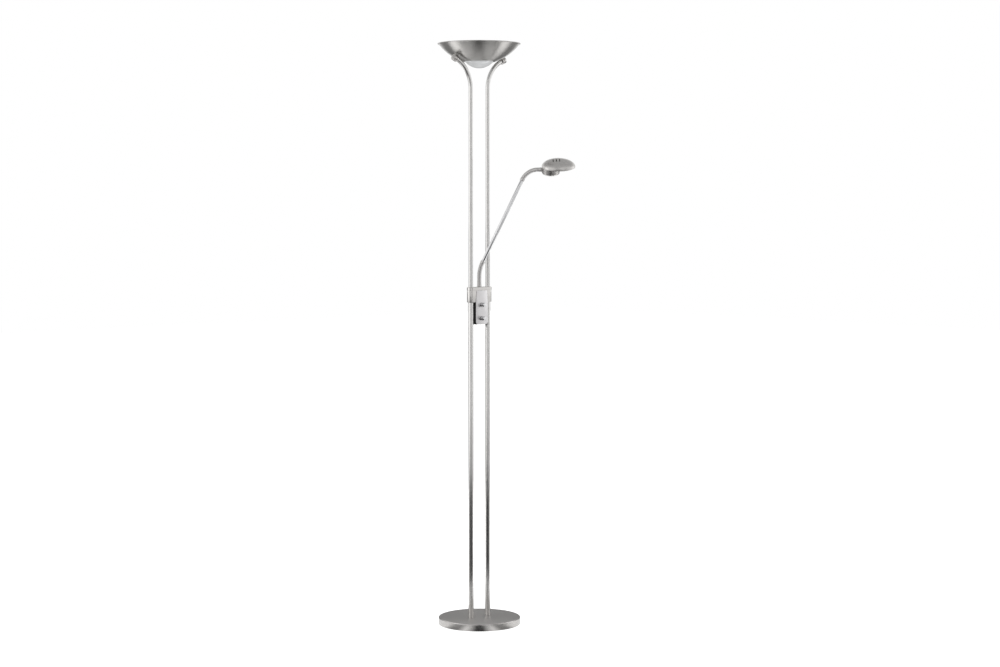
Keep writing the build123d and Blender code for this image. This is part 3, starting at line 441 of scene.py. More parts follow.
@dataclass(frozen=True)
class Finish:
    """What every finish has: a name, the record's slot, and a shader to fill.

    Attributes:
        name: The material's name.
        slot: The material slot in the record; not used.
        colour: Base colour, linear.
        roughness: The surface's middle roughness.
    """

    name: str
    slot: str
    colour: Colour
    roughness: float

    def material(self, setting: Setting = PLAIN_SETTING) -> bpy.types.Material:
        """Make the material, or give the one already made with the same setting.

        Args:
            setting: Where the pattern is centred.

        Returns:
            The material.
        """
        name = self.name + setting.key()
        known = bpy.data.materials.get(name)
        if known is not None:
            return known
        made, sheet = blank_material(name)
        made.diffuse_color = (*self.colour, 1.0)
        shader = sheet.add("ShaderNodeBsdfPrincipled")
        shader.inputs["Base Color"].default_value = (*self.colour, 1.0)
        shader.inputs["Roughness"].default_value = self.roughness
        self.dress(sheet, shader, setting)
        sheet.surface(shader.outputs[0])
        return made

    def dress(self, sheet: NodeSheet, shader: bpy.types.Node, setting: Setting) -> None:
        """Add the finish's own nodes.

        Args:
            sheet: The material's node tree.
            shader: The Principled BSDF.
            setting: Where the pattern is centred.
        """
        raise NotImplementedError

    @staticmethod
    def effect(sheet: NodeSheet, effect: Effect, vector: Socket) -> bpy.types.Node:
        """Place an effect's group in the material."""
        node = sheet.add("ShaderNodeGroup", node_tree=effect_group(effect))
        sheet.join(vector, node.inputs["Vector"])
        return node

    @staticmethod
    def spread(sheet: NodeSheet, value: Socket, low: float, high: float) -> Socket:
        """Spread a 0 to 1 value between two limits.

        Args:
            sheet: The node tree.
            value: The value.
            low: What 0 becomes.
            high: What 1 becomes.

        Returns:
            The spread value.
        """
        span = sheet.add("ShaderNodeMapRange")
        span.inputs["To Min"].default_value = low
        span.inputs["To Max"].default_value = high
        sheet.join(value, span.inputs["Value"])
        return span.outputs[0]

    def shade(self, sheet: NodeSheet, mask: Socket, tones: Point) -> Socket:
        """Mix the colour's darker and lighter tone by a mask.

        Args:
            sheet: The material's node tree.
            mask: 0 for the darker tone, 1 for the lighter one.
            tones: The two tones, as shares of the colour.

        Returns:
            The mixed colour.
        """
        mix = sheet.add("ShaderNodeMix", data_type="RGBA")
        sheet.join(mask, mix.inputs["Factor"])
        for name, tone in zip("AB", tones):
            mix.inputs[name].default_value = (*(min(part * tone, 1.0) for part in self.colour), 1.0)
        return mix.outputs["Result"]

    @staticmethod
    def relief(
        sheet: NodeSheet, shader: bpy.types.Node, height: Socket, strength: float, depth: float
    ) -> None:
        """Raise a height on the surface, to a depth in millimetres.

        Args:
            sheet: The node tree.
            shader: The Principled BSDF.
            height: The height.
            strength: How much it shows.
            depth: Its depth.
        """
        bump = sheet.add("ShaderNodeBump")
        bump.inputs["Strength"].default_value = strength
        bump.inputs["Distance"].default_value = depth * MM
        sheet.join(height, bump.inputs["Height"])
        sheet.join(bump.outputs[0], shader.inputs["Normal"])


@dataclass(frozen=True)
class Metal(Finish):
    """Metal, brushed, plated or plain.

    Attributes:
        brush: How the surface was worked.
        line_strength: How strongly the brush lines stand out.
        marks: How much smudges change the roughness.
        stretch: How far the brush lines stretch what is mirrored across them.
        dusty: Whether thin dust lies on what faces up.
    """

    brush: Brush = Brush.PLAIN
    line_strength: float = 0.12
    marks: float = 0.05
    stretch: float = 0.7
    dusty: bool = False

    def dress(self, sheet: NodeSheet, shader: bpy.types.Node, setting: Setting) -> None:
        """Add brush lines, smudges and dust to plain metal.

        Args:
            sheet: The node tree.
            shader: The Principled BSDF.
            setting: Where the pattern is centred.
        """
        vector = setting.vector(sheet)
        shader.inputs["Metallic"].default_value = 1.0
        smudge = self.effect(sheet, Effect.HANDLING_MARKS, vector).outputs["Smudge"]
        rough = self.spread(sheet, smudge, self.roughness - self.marks, self.roughness + self.marks)
        tone = smudge
        if self.brush is not Brush.PLAIN:
            turned = self.brush is Brush.TURNED
            lines = self.effect(sheet, Effect.TURNED_LINES if turned else Effect.STRAIGHT_LINES, vector)
            streak = self.spread(sheet, lines.outputs["Streaks"], -self.marks, self.marks)
            rough = sheet.maths("ADD", rough, streak)
            tone = lines.outputs["Lines"]
            self.relief(sheet, shader, lines.outputs["Lines"], self.line_strength, BRUSH_DEPTH)
            shader.inputs["Anisotropic"].default_value = self.stretch
            shader.inputs["Anisotropic Rotation"].default_value = 0.25 if turned else 0.0
            sheet.join(setting.ring_direction(sheet, vector), shader.inputs["Tangent"])
        colour = self.shade(sheet, tone, METAL_TONES)
        if self.dusty:
            dust = self.effect(sheet, Effect.SETTLED_DUST, vector).outputs["Dust"]
            rough = sheet.maths("ADD", rough, sheet.maths("MULTIPLY", dust, DUST_ROUGHNESS))
        sheet.join(colour, shader.inputs["Base Color"])
        sheet.join(rough, shader.inputs["Roughness"])


@dataclass(frozen=True)
class Moulded(Finish):
    """Moulded plastic, rubber, foam or a casting, with a fine texture.

    Attributes:
        relief_depth: Depth of the texture, in millimetres.
        coat: Weight of a clear glaze.
        metallic: 1 for a bare casting, 0 otherwise.
    """

    relief_depth: float = 0.04
    coat: float = 0.0
    metallic: float = 0.0

    def dress(self, sheet: NodeSheet, shader: bpy.types.Node, setting: Setting) -> None:
        """Add the mould's grain and a slow change of tone.

        Args:
            sheet: The node tree.
            shader: The Principled BSDF.
            setting: Where the pattern is centred.
        """
        vector = setting.vector(sheet)
        shader.inputs["Metallic"].default_value = self.metallic
        shader.inputs["Coat Weight"].default_value = self.coat
        grain = self.effect(sheet, Effect.MOULDED_GRAIN, vector)
        smudge = self.effect(sheet, Effect.HANDLING_MARKS, vector).outputs["Smudge"]
        colour = self.shade(sheet, grain.outputs["Unevenness"], MOULDED_TONES)
        sheet.join(colour, shader.inputs["Base Color"])
        less, more = MOULDED_SPREAD
        rough = self.spread(sheet, smudge, self.roughness - less, self.roughness + more)
        sheet.join(rough, shader.inputs["Roughness"])
        self.relief(sheet, shader, grain.outputs["Grain"], GRAIN_STRENGTH, self.relief_depth)


@dataclass(frozen=True)
class Glass(Finish):
    """Clear or frosted glass.

    Attributes:
        see_through: Transmission weight.
        relief_depth: Depth of the frosting, in millimetres.
    """

    see_through: float = 1.0
    relief_depth: float = 0.0

    def dress(self, sheet: NodeSheet, shader: bpy.types.Node, setting: Setting) -> None:
        """Let light through, and add the frosting.

        Args:
            sheet: The node tree.
            shader: The Principled BSDF.
            setting: Where the pattern is centred.
        """
        vector = setting.vector(sheet)
        shader.inputs["Metallic"].default_value = 0.0
        shader.inputs["Transmission Weight"].default_value = self.see_through
        shader.inputs["IOR"].default_value = GLASS_INDEX
        smudge = self.effect(sheet, Effect.HANDLING_MARKS, vector).outputs["Smudge"]
        sheet.join(self.shade(sheet, smudge, GLASS_TONES), shader.inputs["Base Color"])
        less, more = GLASS_SPREAD
        rough = self.spread(sheet, smudge, max(self.roughness - less, 0.0), self.roughness + more)
        sheet.join(rough, shader.inputs["Roughness"])
        if self.relief_depth:
            grain = self.effect(sheet, Effect.MOULDED_GRAIN, vector)
            self.relief(sheet, shader, grain.outputs["Grain"], FROST_STRENGTH, self.relief_depth)


NICKEL: Colour = (0.60, 0.585, 0.57)
# name, slot, colour, roughness, then the fields of each kind in their order
TURNED_NICKEL = Metal(
    "turned_nickel", "brushed_nickel", (0.56, 0.545, 0.53), 0.27, Brush.TURNED, 0.006, 0.008, 0.3, True
)
BOWL_NICKEL = Metal(
    "bowl_nickel", "brushed_bowl", (0.50, 0.49, 0.475), 0.34, Brush.TURNED, 0.006, 0.012, 0.97
)
POLE_NICKEL = Metal(
    "pole_nickel", "brushed_nickel", (0.65, 0.64, 0.63), 0.22, Brush.LENGTHWISE, 0.02, 0.02, 0.1
)
CLAMP_NICKEL = Metal("clamp_nickel", "brushed_nickel", NICKEL, 0.22, Brush.LENGTHWISE, 0.02, 0.02, 0.1)
HEAD_NICKEL = Metal("head_nickel", "brushed_nickel", NICKEL, 0.36, Brush.TURNED, 0.02, 0.03, 0.15)
PLATE_SILVER = Metal(
    "plate_silver", "satin_plate", (0.62, 0.61, 0.615), 0.34, Brush.LENGTHWISE, 0.05, 0.05, 0.4
)
ROD_CHROME = Metal("rod_chrome", "chrome_rod", (0.72, 0.72, 0.73), 0.12, marks=0.04)
KNOB_CHROME = Metal("knob_chrome", "chrome_knob", (0.74, 0.74, 0.75), 0.16, Brush.TURNED, 0.02, 0.02)
NECK_METAL = Metal("neck_metal", "neck_metal", (0.60, 0.59, 0.58), 0.2, marks=0.05)
ZINC = Metal("zinc", "zinc_steel", (0.58, 0.58, 0.56), 0.38, marks=0.08)
BRIGHT_SHEET = Metal("bright_sheet", "bright_aluminium", (0.82, 0.82, 0.83), 0.14, marks=0.04)
CAST_IRON = Moulded("cast_iron", "cast_iron", (0.06, 0.06, 0.065), 0.62, relief_depth=0.2)
FOAM = Moulded("foam_pad", "foam_pad", (0.035, 0.035, 0.035), 0.85, relief_depth=0.15)
RUBBER = Moulded("black_rubber", "black_rubber", (0.02, 0.02, 0.02), 0.55)
BLACK_PLASTIC = Moulded("black_plastic", "black_plastic", (0.012, 0.012, 0.013), 0.42)
WHITE_PLASTIC = Moulded("white_plastic", "white_plastic", (0.72, 0.72, 0.69), 0.40)
BOARD = Moulded("circuit_board", "circuit_board", (0.34, 0.24, 0.10), 0.45, relief_depth=0.02)
CERAMIC = Moulded("ceramic", "ceramic", (0.80, 0.78, 0.73), 0.24, relief_depth=0.015, coat=0.6)
WIRE_COVER = Moulded("wire_insulation", "wire_insulation", (0.74, 0.73, 0.70), 0.5, relief_depth=0.01)
FROSTED = Glass("frosted_glass", "frosted_glass", (0.80, 0.80, 0.79), 0.5, 0.8, 0.02)
QUARTZ = Glass("clear_quartz", "clear_quartz", (0.97, 0.98, 0.99), 0.03)
TUNGSTEN = Metal("tungsten", "clear_quartz", (0.30, 0.29, 0.28), 0.4)


# ---------------------------------------------------------------- drawing and finishing meshes


def at(x: float, y: float, z: float) -> Matrix:
    """A place, in millimetres, unturned."""
    return Matrix.Translation(Vector((x, y, z)) * MM)


def facing(point: Triple, along: Triple, across: Triple) -> Matrix:
    """A place whose Z lies along a direction.

    Args:
        point: The place, in millimetres.
        along: The direction of its Z.
        across: A direction that its X lies as near as it can to.

    Returns:
        The placing matrix, in metres.
    """
    up = Vector(along).normalized()
    side = (Vector(across) - up * up.dot(across)).normalized()
    turned = Matrix((side, up.cross(side), up)).transposed().to_4x4()
    return Matrix.Translation(Vector(point) * MM) @ turned


def on_round(centre: Point, radius: float, angle: float) -> Point:
    """Point on a round, at an angle in degrees from across towards up."""
    return centre[0] + radius * cos(radians(angle)), centre[1] + radius * sin(radians(angle))


def verts_in(items: Iterable[Elem]) -> list[bmesh.types.BMVert]:
    """The vertices among some elements."""
    return [item for item in items if isinstance(item, bmesh.types.BMVert)]


def edges_in(items: Iterable[Elem]) -> list[bmesh.types.BMEdge]:
    """The edges among some elements."""
    return [item for item in items if isinstance(item, bmesh.types.BMEdge)]


def spun(
    mesh: Mesh,
    geom: Iterable[Elem],
    centre: Triple,
    axis: Triple,
    turn: float,
    steps: int,
    merge: bool = False,
) -> list[Elem]:
    """Spin elements about an axis.

    Args:
        mesh: The mesh that they are in.
        geom: The vertices and edges to spin.
        centre: A point on the axis, in millimetres.
        axis: The axis's direction.
        turn: Degrees of turn.
        steps: Runs that the turn is made of.
        merge: Whether the end is merged with the start.

    Returns:
        The elements at the end of the turn.
    """
    made = bmesh.ops.spin(
        mesh,
        geom=list(geom),
        cent=Vector(centre) * MM,
        axis=axis,
        dvec=(0.0, 0.0, 0.0),
        angle=radians(turn),
        steps=steps,
        use_merge=merge,
        use_duplicate=False,
    )
    return made["geom_last"]


def bevelled(mesh: Mesh, edges: list[bmesh.types.BMEdge], width: float, segments: int) -> Mesh:
    """Bevel some edges, to a width in millimetres, and give the same mesh.

    Args:
        mesh: The mesh to change.
        edges: The edges.
        width: The bevel's width.
        segments: Faces across it.

    Returns:
        The same mesh.
    """
    bmesh.ops.bevel(
        mesh,
        geom=edges,
        offset=width * MM,
        offset_type="OFFSET",
        affect="EDGES",
        segments=segments,
        profile=0.5,
        material=-1,
        clamp_overlap=True,
    )
    return mesh


# outlines lie in a piece's X and Z; this lays them flat, with their height towards Y
LAID_FLAT = Matrix(((1, 0, 0, 0), (0, 0, 1, 0), (0, -1, 0, 0), (0, 0, 0, 1)))


class Outline:
    """A line drawn across and up in a piece's upright plane, in millimetres."""

    def __init__(self, across: float, height: float) -> None:
        """Start the line.

        Args:
            across: Distance from the piece's axis.
            height: Height on the piece's axis.
        """
        self.mesh = bmesh.new()
        made = bmesh.ops.create_vert(self.mesh, co=(across * MM, 0.0, height * MM))
        self.first = self.tip = made["vert"][0]

    def to(self, *points: Point) -> "Outline":
        """Draw straight to each point in turn.

        Args:
            *points: Places across and up.

        Returns:
            The outline, for the next call.
        """
        for across, height in points:
            made = bmesh.ops.extrude_vert_indiv(self.mesh, verts=[self.tip])
            self.tip = made["verts"][0]
            self.tip.co = Vector((across, 0.0, height)) * MM
        return self

    def arc(self, centre: Point, turn: float, steps: int = 10) -> "Outline":
        """Draw an arc about a centre.

        Args:
            centre: The arc's centre, across and up.
            turn: Degrees, positive from across towards up.
            steps: Runs that the arc is made of.

        Returns:
            The outline, for the next call.
        """
        made = spun(self.mesh, [self.tip], (centre[0], 0.0, centre[1]), (0.0, -1.0, 0.0), turn, steps)
        self.tip = verts_in(made)[0]
        return self

    def close(self) -> "Outline":
        """Join the line's end to its start."""
        self.mesh.edges.new((self.tip, self.first))
        return self

    def turned(self, steps: int = 64) -> Mesh:
        """Turn the line about the piece's axis, all the way round.

        Args:
            steps: Faces round the piece.

        Returns:
            The turned mesh, its poles and seam closed.
        """
        line = [*self.mesh.verts, *self.mesh.edges]
        spun(self.mesh, line, (0.0, 0.0, 0.0), (0.0, 0.0, 1.0), 360.0, steps, merge=True)
        return closed(self.mesh)

    def pushed(self, depth: float) -> Mesh:
        """Fill the line and push it towards Y.

        Args:
            depth: Millimetres of thickness.

        Returns:
            The solid mesh.
        """
        bmesh.ops.contextual_create(self.mesh, geom=list(self.mesh.edges))
        return thickened(self.mesh, Vector((0.0, depth, 0.0)))


def closed(mesh: Mesh) -> Mesh:
    """Merge doubles, then turn every face outwards."""
    bmesh.ops.remove_doubles(mesh, verts=list(mesh.verts), dist=MERGE_DISTANCE)
    bmesh.ops.dissolve_degenerate(mesh, edges=list(mesh.edges), dist=MERGE_DISTANCE)
    bmesh.ops.recalc_face_normals(mesh, faces=list(mesh.faces))
    return mesh


def thickened(mesh: Mesh, way: Vector) -> Mesh:
    """Push a sheet's faces by a vector in millimetres, and close the sides."""
    pushed = bmesh.ops.extrude_face_region(mesh, geom=list(mesh.faces), use_keep_orig=True)
    bmesh.ops.translate(mesh, vec=way * MM, verts=verts_in(pushed["geom"]))
    return closed(mesh)


def softened(mesh: Mesh, edge: float, angle: float = 60.0, segments: int = 2) -> Mesh:
    """Bevel the edges that are sharper than an angle.

    Args:
        mesh: The mesh to change.
        edge: Width of the bevel, in millimetres.
        angle: Least angle between two faces, in degrees.
        segments: Faces across the bevel.

    Returns:
        The same mesh.
    """
    sharp = [item for item in mesh.edges if item.is_manifold and item.calc_face_angle() > radians(angle)]
    return bevelled(mesh, sharp, edge, segments)


def rod(radius: float, low: float, high: float, steps: int = 48) -> Mesh:
    """A plain round rod on the Z axis, in millimetres."""
    return Outline(0.0, low).to((radius, low), (radius, high), (0.0, high)).turned(steps)


def ring(outer: float, inner: float, low: float, high: float, steps: int = 48) -> Mesh:
    """A round ring or pipe on the Z axis, in millimetres."""
    return Outline(inner, low).to((outer, low), (outer, high), (inner, high)).close().turned(steps)


def hex_nut(width: float, bore: float, low: float, high: float) -> Mesh:
    """A chamfered hexagon nut on the Z axis, in millimetres, open in the middle."""
    chamfer = (high - low) * 0.18
    return softened(ring(width / 2 / cos(radians(30)), bore, low, high, 6), chamfer, angle=50.0)


def mesh_data(name: str, mesh: Mesh) -> bpy.types.Mesh:
    """Turn a mesh that is being worked on into mesh data, and use it up."""
    data = bpy.data.meshes.new(name)
    mesh.to_mesh(data)
    mesh.free()
    return data


def linked(name: str, data: bpy.types.ID) -> bpy.types.Object:
    """Make an object and put it in the scene."""
    made = bpy.data.objects.new(name, data)
    bpy.context.scene.collection.objects.link(made)
    return made


def joined(*meshes: Mesh) -> Mesh:
    """Put several meshes into one, as separate shells.

    Args:
        *meshes: The meshes, which are used up.

    Returns:
        The new mesh.
    """
    whole = bmesh.new()
    for part in meshes:
        carrier = mesh_data("carrier", part)
        whole.from_mesh(carrier)
        bpy.data.meshes.remove(carrier)
    return whole


def placed(mesh: Mesh, place: Matrix) -> Mesh:
    """Move a mesh to its place, with its faces kept outwards.

    Args:
        mesh: The mesh to move.
        place: Its place, in metres.

    Returns:
        The same mesh.
    """
    bmesh.ops.transform(mesh, matrix=place, verts=list(mesh.verts))
    if place.determinant() < 0:
        bmesh.ops.reverse_faces(mesh, faces=list(mesh.faces))
    return mesh


# edges sharper than this stay sharp, in degrees
SMOOTH_ANGLE = 32.0


def piece(
    name: str,
    mesh: Mesh,
    finish: Finish,
    body: str | None,
    replaced: Iterable[str] = (),
    setting: Setting = PLAIN_SETTING,
    smooth_angle: float = SMOOTH_ANGLE,
) -> bpy.types.Object:
    """Make a finished object from a mesh that is already in its place.

    Args:
        name: The piece's name.
        mesh: The mesh, in metres, which is used up.
        finish: Its finish.
        body: The body that it rides on, or None where it rides on none.
        replaced: The CAD nodes that it stands for.
        setting: Where the finish's pattern is centred.
        smooth_angle: Edges sharper than this stay sharp, in degrees.

    Returns:
        The object.
    """
    data = mesh_data(name, mesh)
    data.shade_smooth()
    data.set_sharp_from_angle(angle=radians(smooth_angle))
    made = linked(name, data)
    data.materials.append(finish.material(setting))
    if body is not None:
        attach(made, body)
    for node in replaced:
        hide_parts(node)
    log.info("%s: %d faces, %s", name, len(data.polygons), finish.name)
    return made


def carve(target: bpy.types.Object, cutter: Mesh) -> None:
    """Cut a mesh out of an object, and apply the cut.

    Args:
        target: The object to cut.
        cutter: The solid to take away, which is used up.
    """
    data = mesh_data("cutter", cutter)
    tool = linked("cutter", data)
    cut = target.modifiers.new("cut", "BOOLEAN")
    cut.operation, cut.solver, cut.object = "DIFFERENCE", "EXACT", tool
    graph = bpy.context.evaluated_depsgraph_get()
    result = bpy.data.meshes.new_from_object(target.evaluated_get(graph))
    target.modifiers.clear()
    unused = (data, target.data)
    target.data = result
    bpy.data.objects.remove(tool)
    for item in unused:
        bpy.data.meshes.remove(item)
    result.name = target.name
    result.shade_smooth()
    result.set_sharp_from_angle(angle=radians(SMOOTH_ANGLE))


def dress_node(name: str, finish: Finish) -> None:
    """Give a CAD node that stays its procedural material.

    Args:
        name: The node.
        finish: Its finish.
    """
    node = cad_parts[name]
    node.data.materials.clear()
    node.data.materials.append(finish.material())
    log.info("%s: CAD node, %s", name, finish.name)


# ---------------------------------------------------------------- the lamp's sub-assemblies

SIDES = {"left": -1, "right": 1}


@dataclass
class Base:
    """The round weighted base: its cover, and the inlet ring at the back."""

    radius: float = 127.5
    height: float = 22.5
    lift: float = 1.0
    wall: float = 1.2
    edge: float = 3.0
    inlet_x: float = 35.0
    inlet_height: float = 6.5
    grommet_radius: float = 3.9
    grommet_bore: float = 3.0
    grommet_lip: float = 1.2
    grommet_depth: float = 3.6
    lip_round: float = 0.6
    bore_round: float = 0.4
    hem: float = 0.4
    inlet_hole: float = 4.0
    inlet_y: float = 122.6

    def cover(self) -> None:
        """Turn the cover with a soft top edge and a small hem at the bottom."""
        edge, wall, top = self.edge, self.wall, self.height
        inner = self.radius - wall
        outline = Outline(0.0, top).to((self.radius * 0.5, top), (self.radius - edge, top))
        outline.arc((self.radius - edge, top - edge), -90.0, 8)
        outline.to((self.radius, self.lift + self.hem))
        outline.arc((self.radius - self.hem, self.lift + self.hem), -90.0, 3)
        outline.to((inner, self.lift), (inner, top - edge))
        outline.arc((self.radius - edge, top - edge), 90.0 - 1e-6, 1)
        outline.to((0.0, top - wall))
        mesh = outline.turned(steps=160)
        made = piece("base_cover_skin", mesh, TURNED_NICKEL, "stand", ["base_cover"])
        carve(made, placed(rod(self.inlet_hole, -20.0, 20.0), self.inlet_place(self.inlet_y)))

    def inlet_place(self, back: float) -> Matrix:
        """Place on the inlet's axis, with Z towards the back."""
        return facing((self.inlet_x, back, self.inlet_height), (0, 1, 0), (1, 0, 0))

    def grommet(self) -> None:
        """Turn the rubber ring that lines the cord's inlet."""
        bore, radius, lip = self.grommet_bore, self.grommet_radius, self.grommet_lip
        depth, outside, inside = self.grommet_depth, self.lip_round, self.bore_round
        outline = Outline(bore, -depth).to((radius, -depth), (radius, lip - outside))
        outline.arc((radius - outside, lip - outside), 90.0, 4).to((bore + inside, lip))
        outline.arc((bore + inside, lip - inside), 90.0, 3).close()
        place = self.inlet_place(sqrt(self.radius**2 - self.inlet_x**2))
        piece("inlet_ring", placed(outline.turned(steps=40), place), RUBBER, "stand", ["cord_grommet"])

    def build(self) -> None:
        """Build and dress the base."""
        self.cover()
        self.grommet()
        dress_node("base_weight", CAST_IRON)
        dress_node("floor_pad", FOAM)
        for name in ("foot_bushes", "foot_nipples", "foot_washers", "foot_nuts"):
            dress_node(name, ZINC)


@dataclass
class Poles:
    """The two poles: a wide lower tube and a slimmer upper one that bends out under the bowl."""

    spacing: float = 70.0
    lower_radius: float = 8.25
    lower_wall: float = 1.5
    lower_bottom: float = 22.5
    lower_top: float = 1041.9
    upper_radius: float = 6.65
    upper_wall: float = 1.0
    upper_bottom: float = 981.9
    bend_start: float = 1660.675
    bend_radius: float = 96.0
    bend_angle: float = 66.0
    end_length: float = 4.0
    bend_steps: int = 28
    rim_edge: float = 0.25

    def lower(self, side_name: str, side: int) -> None:
        """Turn a lower tube.

        Args:
            side_name: left or right.
            side: -1 for the left pole, 1 for the right.
        """
        inner = self.lower_radius - self.lower_wall
        mesh = softened(ring(self.lower_radius, inner, self.lower_bottom, self.lower_top, 64), self.rim_edge)
        x = side * self.spacing / 2
        name = f"lower_tube_{side_name}"
        setting = Setting((x, 0.0, 0.0))
        piece(f"{name}_skin", placed(mesh, at(x, 0, 0)), POLE_NICKEL, "stand", [name], setting)

    def upper(self, side_name: str, side: int) -> None:
        """Draw an upper tube along its straight run, its bend and its short end.

        Args:
            side_name: left or right.
            side: -1 for the left pole, 1 for the right.
        """
        mesh = bmesh.new()
        x = side * self.spacing / 2
        for radius in (self.upper_radius, self.upper_radius - self.upper_wall):
            self.wall_along(mesh, radius, x, side)
        rims = [edge for edge in mesh.edges if edge.is_boundary]
        middle = (self.upper_bottom + self.bend_start) / 2 * MM
        for low in (True, False):
            chosen = [edge for edge in rims if (edge.verts[0].co.z < middle) is low]
            bmesh.ops.bridge_loops(mesh, edges=chosen)
        name = f"upper_tube_{side_name}"
        piece(f"{name}_skin", closed(mesh), POLE_NICKEL, "stand", [name], Setting((x, 0.0, 0.0)))

    def wall_along(self, mesh: Mesh, radius: float, x: float, side: int) -> None:
        """Sweep one round wall up the pole.

        Args:
            mesh: The mesh that it goes into.
            radius: The wall's radius.
            x: The pole's place.
            side: -1 for the left pole, 1 for the right.
        """
        foot = at(x, 0, self.upper_bottom)
        start = bmesh.ops.create_circle(mesh, segments=48, radius=radius * MM, matrix=foot)
        loop: list[Elem] = list({edge for vert in start["verts"] for edge in vert.link_edges})
        loop = self.pushed_loop(mesh, loop, Vector((0, 0, self.bend_start - self.upper_bottom)))
        corners = list({vert for edge in loop for vert in edge.verts})
        middle = (x + side * self.bend_radius, 0.0, self.bend_start)
        bent = spun(mesh, loop + corners, middle, (0.0, float(side), 0.0), self.bend_angle, self.bend_steps)
        loop = edges_in(bent)
        angle = radians(self.bend_angle)
        self.pushed_loop(mesh, loop, Vector((side * sin(angle), 0, cos(angle))) * self.end_length)

    @staticmethod
    def pushed_loop(mesh: Mesh, loop: list[bmesh.types.BMEdge], way: Vector) -> list[bmesh.types.BMEdge]:
        """Extrude a loop of edges by a vector in millimetres, and give the new loop."""
        made = bmesh.ops.extrude_edge_only(mesh, edges=loop)["geom"]
        bmesh.ops.translate(mesh, vec=way * MM, verts=verts_in(made))
        return edges_in(made)

    def build(self) -> None:
        """Build both poles."""
        for side_name, side in SIDES.items():
            self.lower(side_name, side)
            self.upper(side_name, side)


@dataclass
class Clamp:
    """The oval clamp that holds the poles together and carries the arm."""

    spacing: float = 70.0
    bottom: float = 1005.0
    cap_bottom: float = 1042.0
    top: float = 1052.0
    band_radius: float = 11.45
    band_wall: float = 1.8
    cap_lip: float = 0.5
    cap_edge: float = 2.0
    tube_hole: float = 6.75
    bush_hole: float = 8.1
    bush_radius: float = 8.0
    bush_bore: float = 5.05
    bush_depth: float = 30.0
    bush_flange: float = 1.0
    bush_edge: float = 0.25
    band_edge: float = 0.4

    def oval(self, radius: float) -> Outline:
        """Draw the oval round both poles, to be laid flat."""
        half = self.spacing / 2
        outline = Outline(half, -radius)
        outline.arc((half, 0.0), 180.0, 24).to((-half, radius))
        return outline.arc((-half, 0.0), 180.0, 24).close()

    def band(self) -> None:
        """Push the oval band up from its outline, with softened rims."""
        height = self.cap_bottom - self.bottom
        outer = self.oval(self.band_radius).pushed(height)
        inner = self.oval(self.band_radius - self.band_wall).pushed(height + 2)
        mesh = placed(softened(outer, self.band_edge), at(0, 0, self.cap_bottom) @ LAID_FLAT)
        made = piece("clamp_band_skin", mesh, CLAMP_NICKEL, "stand", ["clamp_band"])
        carve(made, placed(inner, at(0, 0, self.cap_bottom + 1) @ LAID_FLAT))

    def cap(self) -> None:
        """Push the cap up, round its top edge and cut the poles' and the bush's holes."""
        solid = self.oval(self.band_radius + self.cap_lip).pushed(self.top - self.cap_bottom)
        placed(solid, at(0, 0, self.top) @ LAID_FLAT)
        top_edges = [
            edge
            for edge in solid.edges
            if all(vert.co.z > (self.top - 0.01) * MM for vert in edge.verts)
        ]
        bevelled(solid, top_edges, self.cap_edge, 5)
        made = piece("clamp_cap_skin", solid, CLAMP_NICKEL, "stand", ["clamp_cap"])
        half = self.spacing / 2
        for x, radius in ((-half, self.tube_hole), (half, self.tube_hole), (0, self.bush_hole)):
            carve(made, placed(rod(radius, self.cap_bottom - 2, self.top + 2), at(x, 0, 0)))

    def bush(self) -> None:
        """Turn the flanged bush that the arm turns in."""
        low, high = self.top - self.bush_depth, self.top + self.bush_flange
        mesh = softened(ring(self.bush_radius, self.bush_bore, low, high, 64), self.bush_edge)
        piece("arm_bush_skin", mesh, ZINC, "stand", ["arm_bush"])

    def build(self) -> None:
        """Build and dress the clamp."""
        self.band()
        self.cap()
        self.bush()
        dress_node("clamp_core", BLACK_PLASTIC)


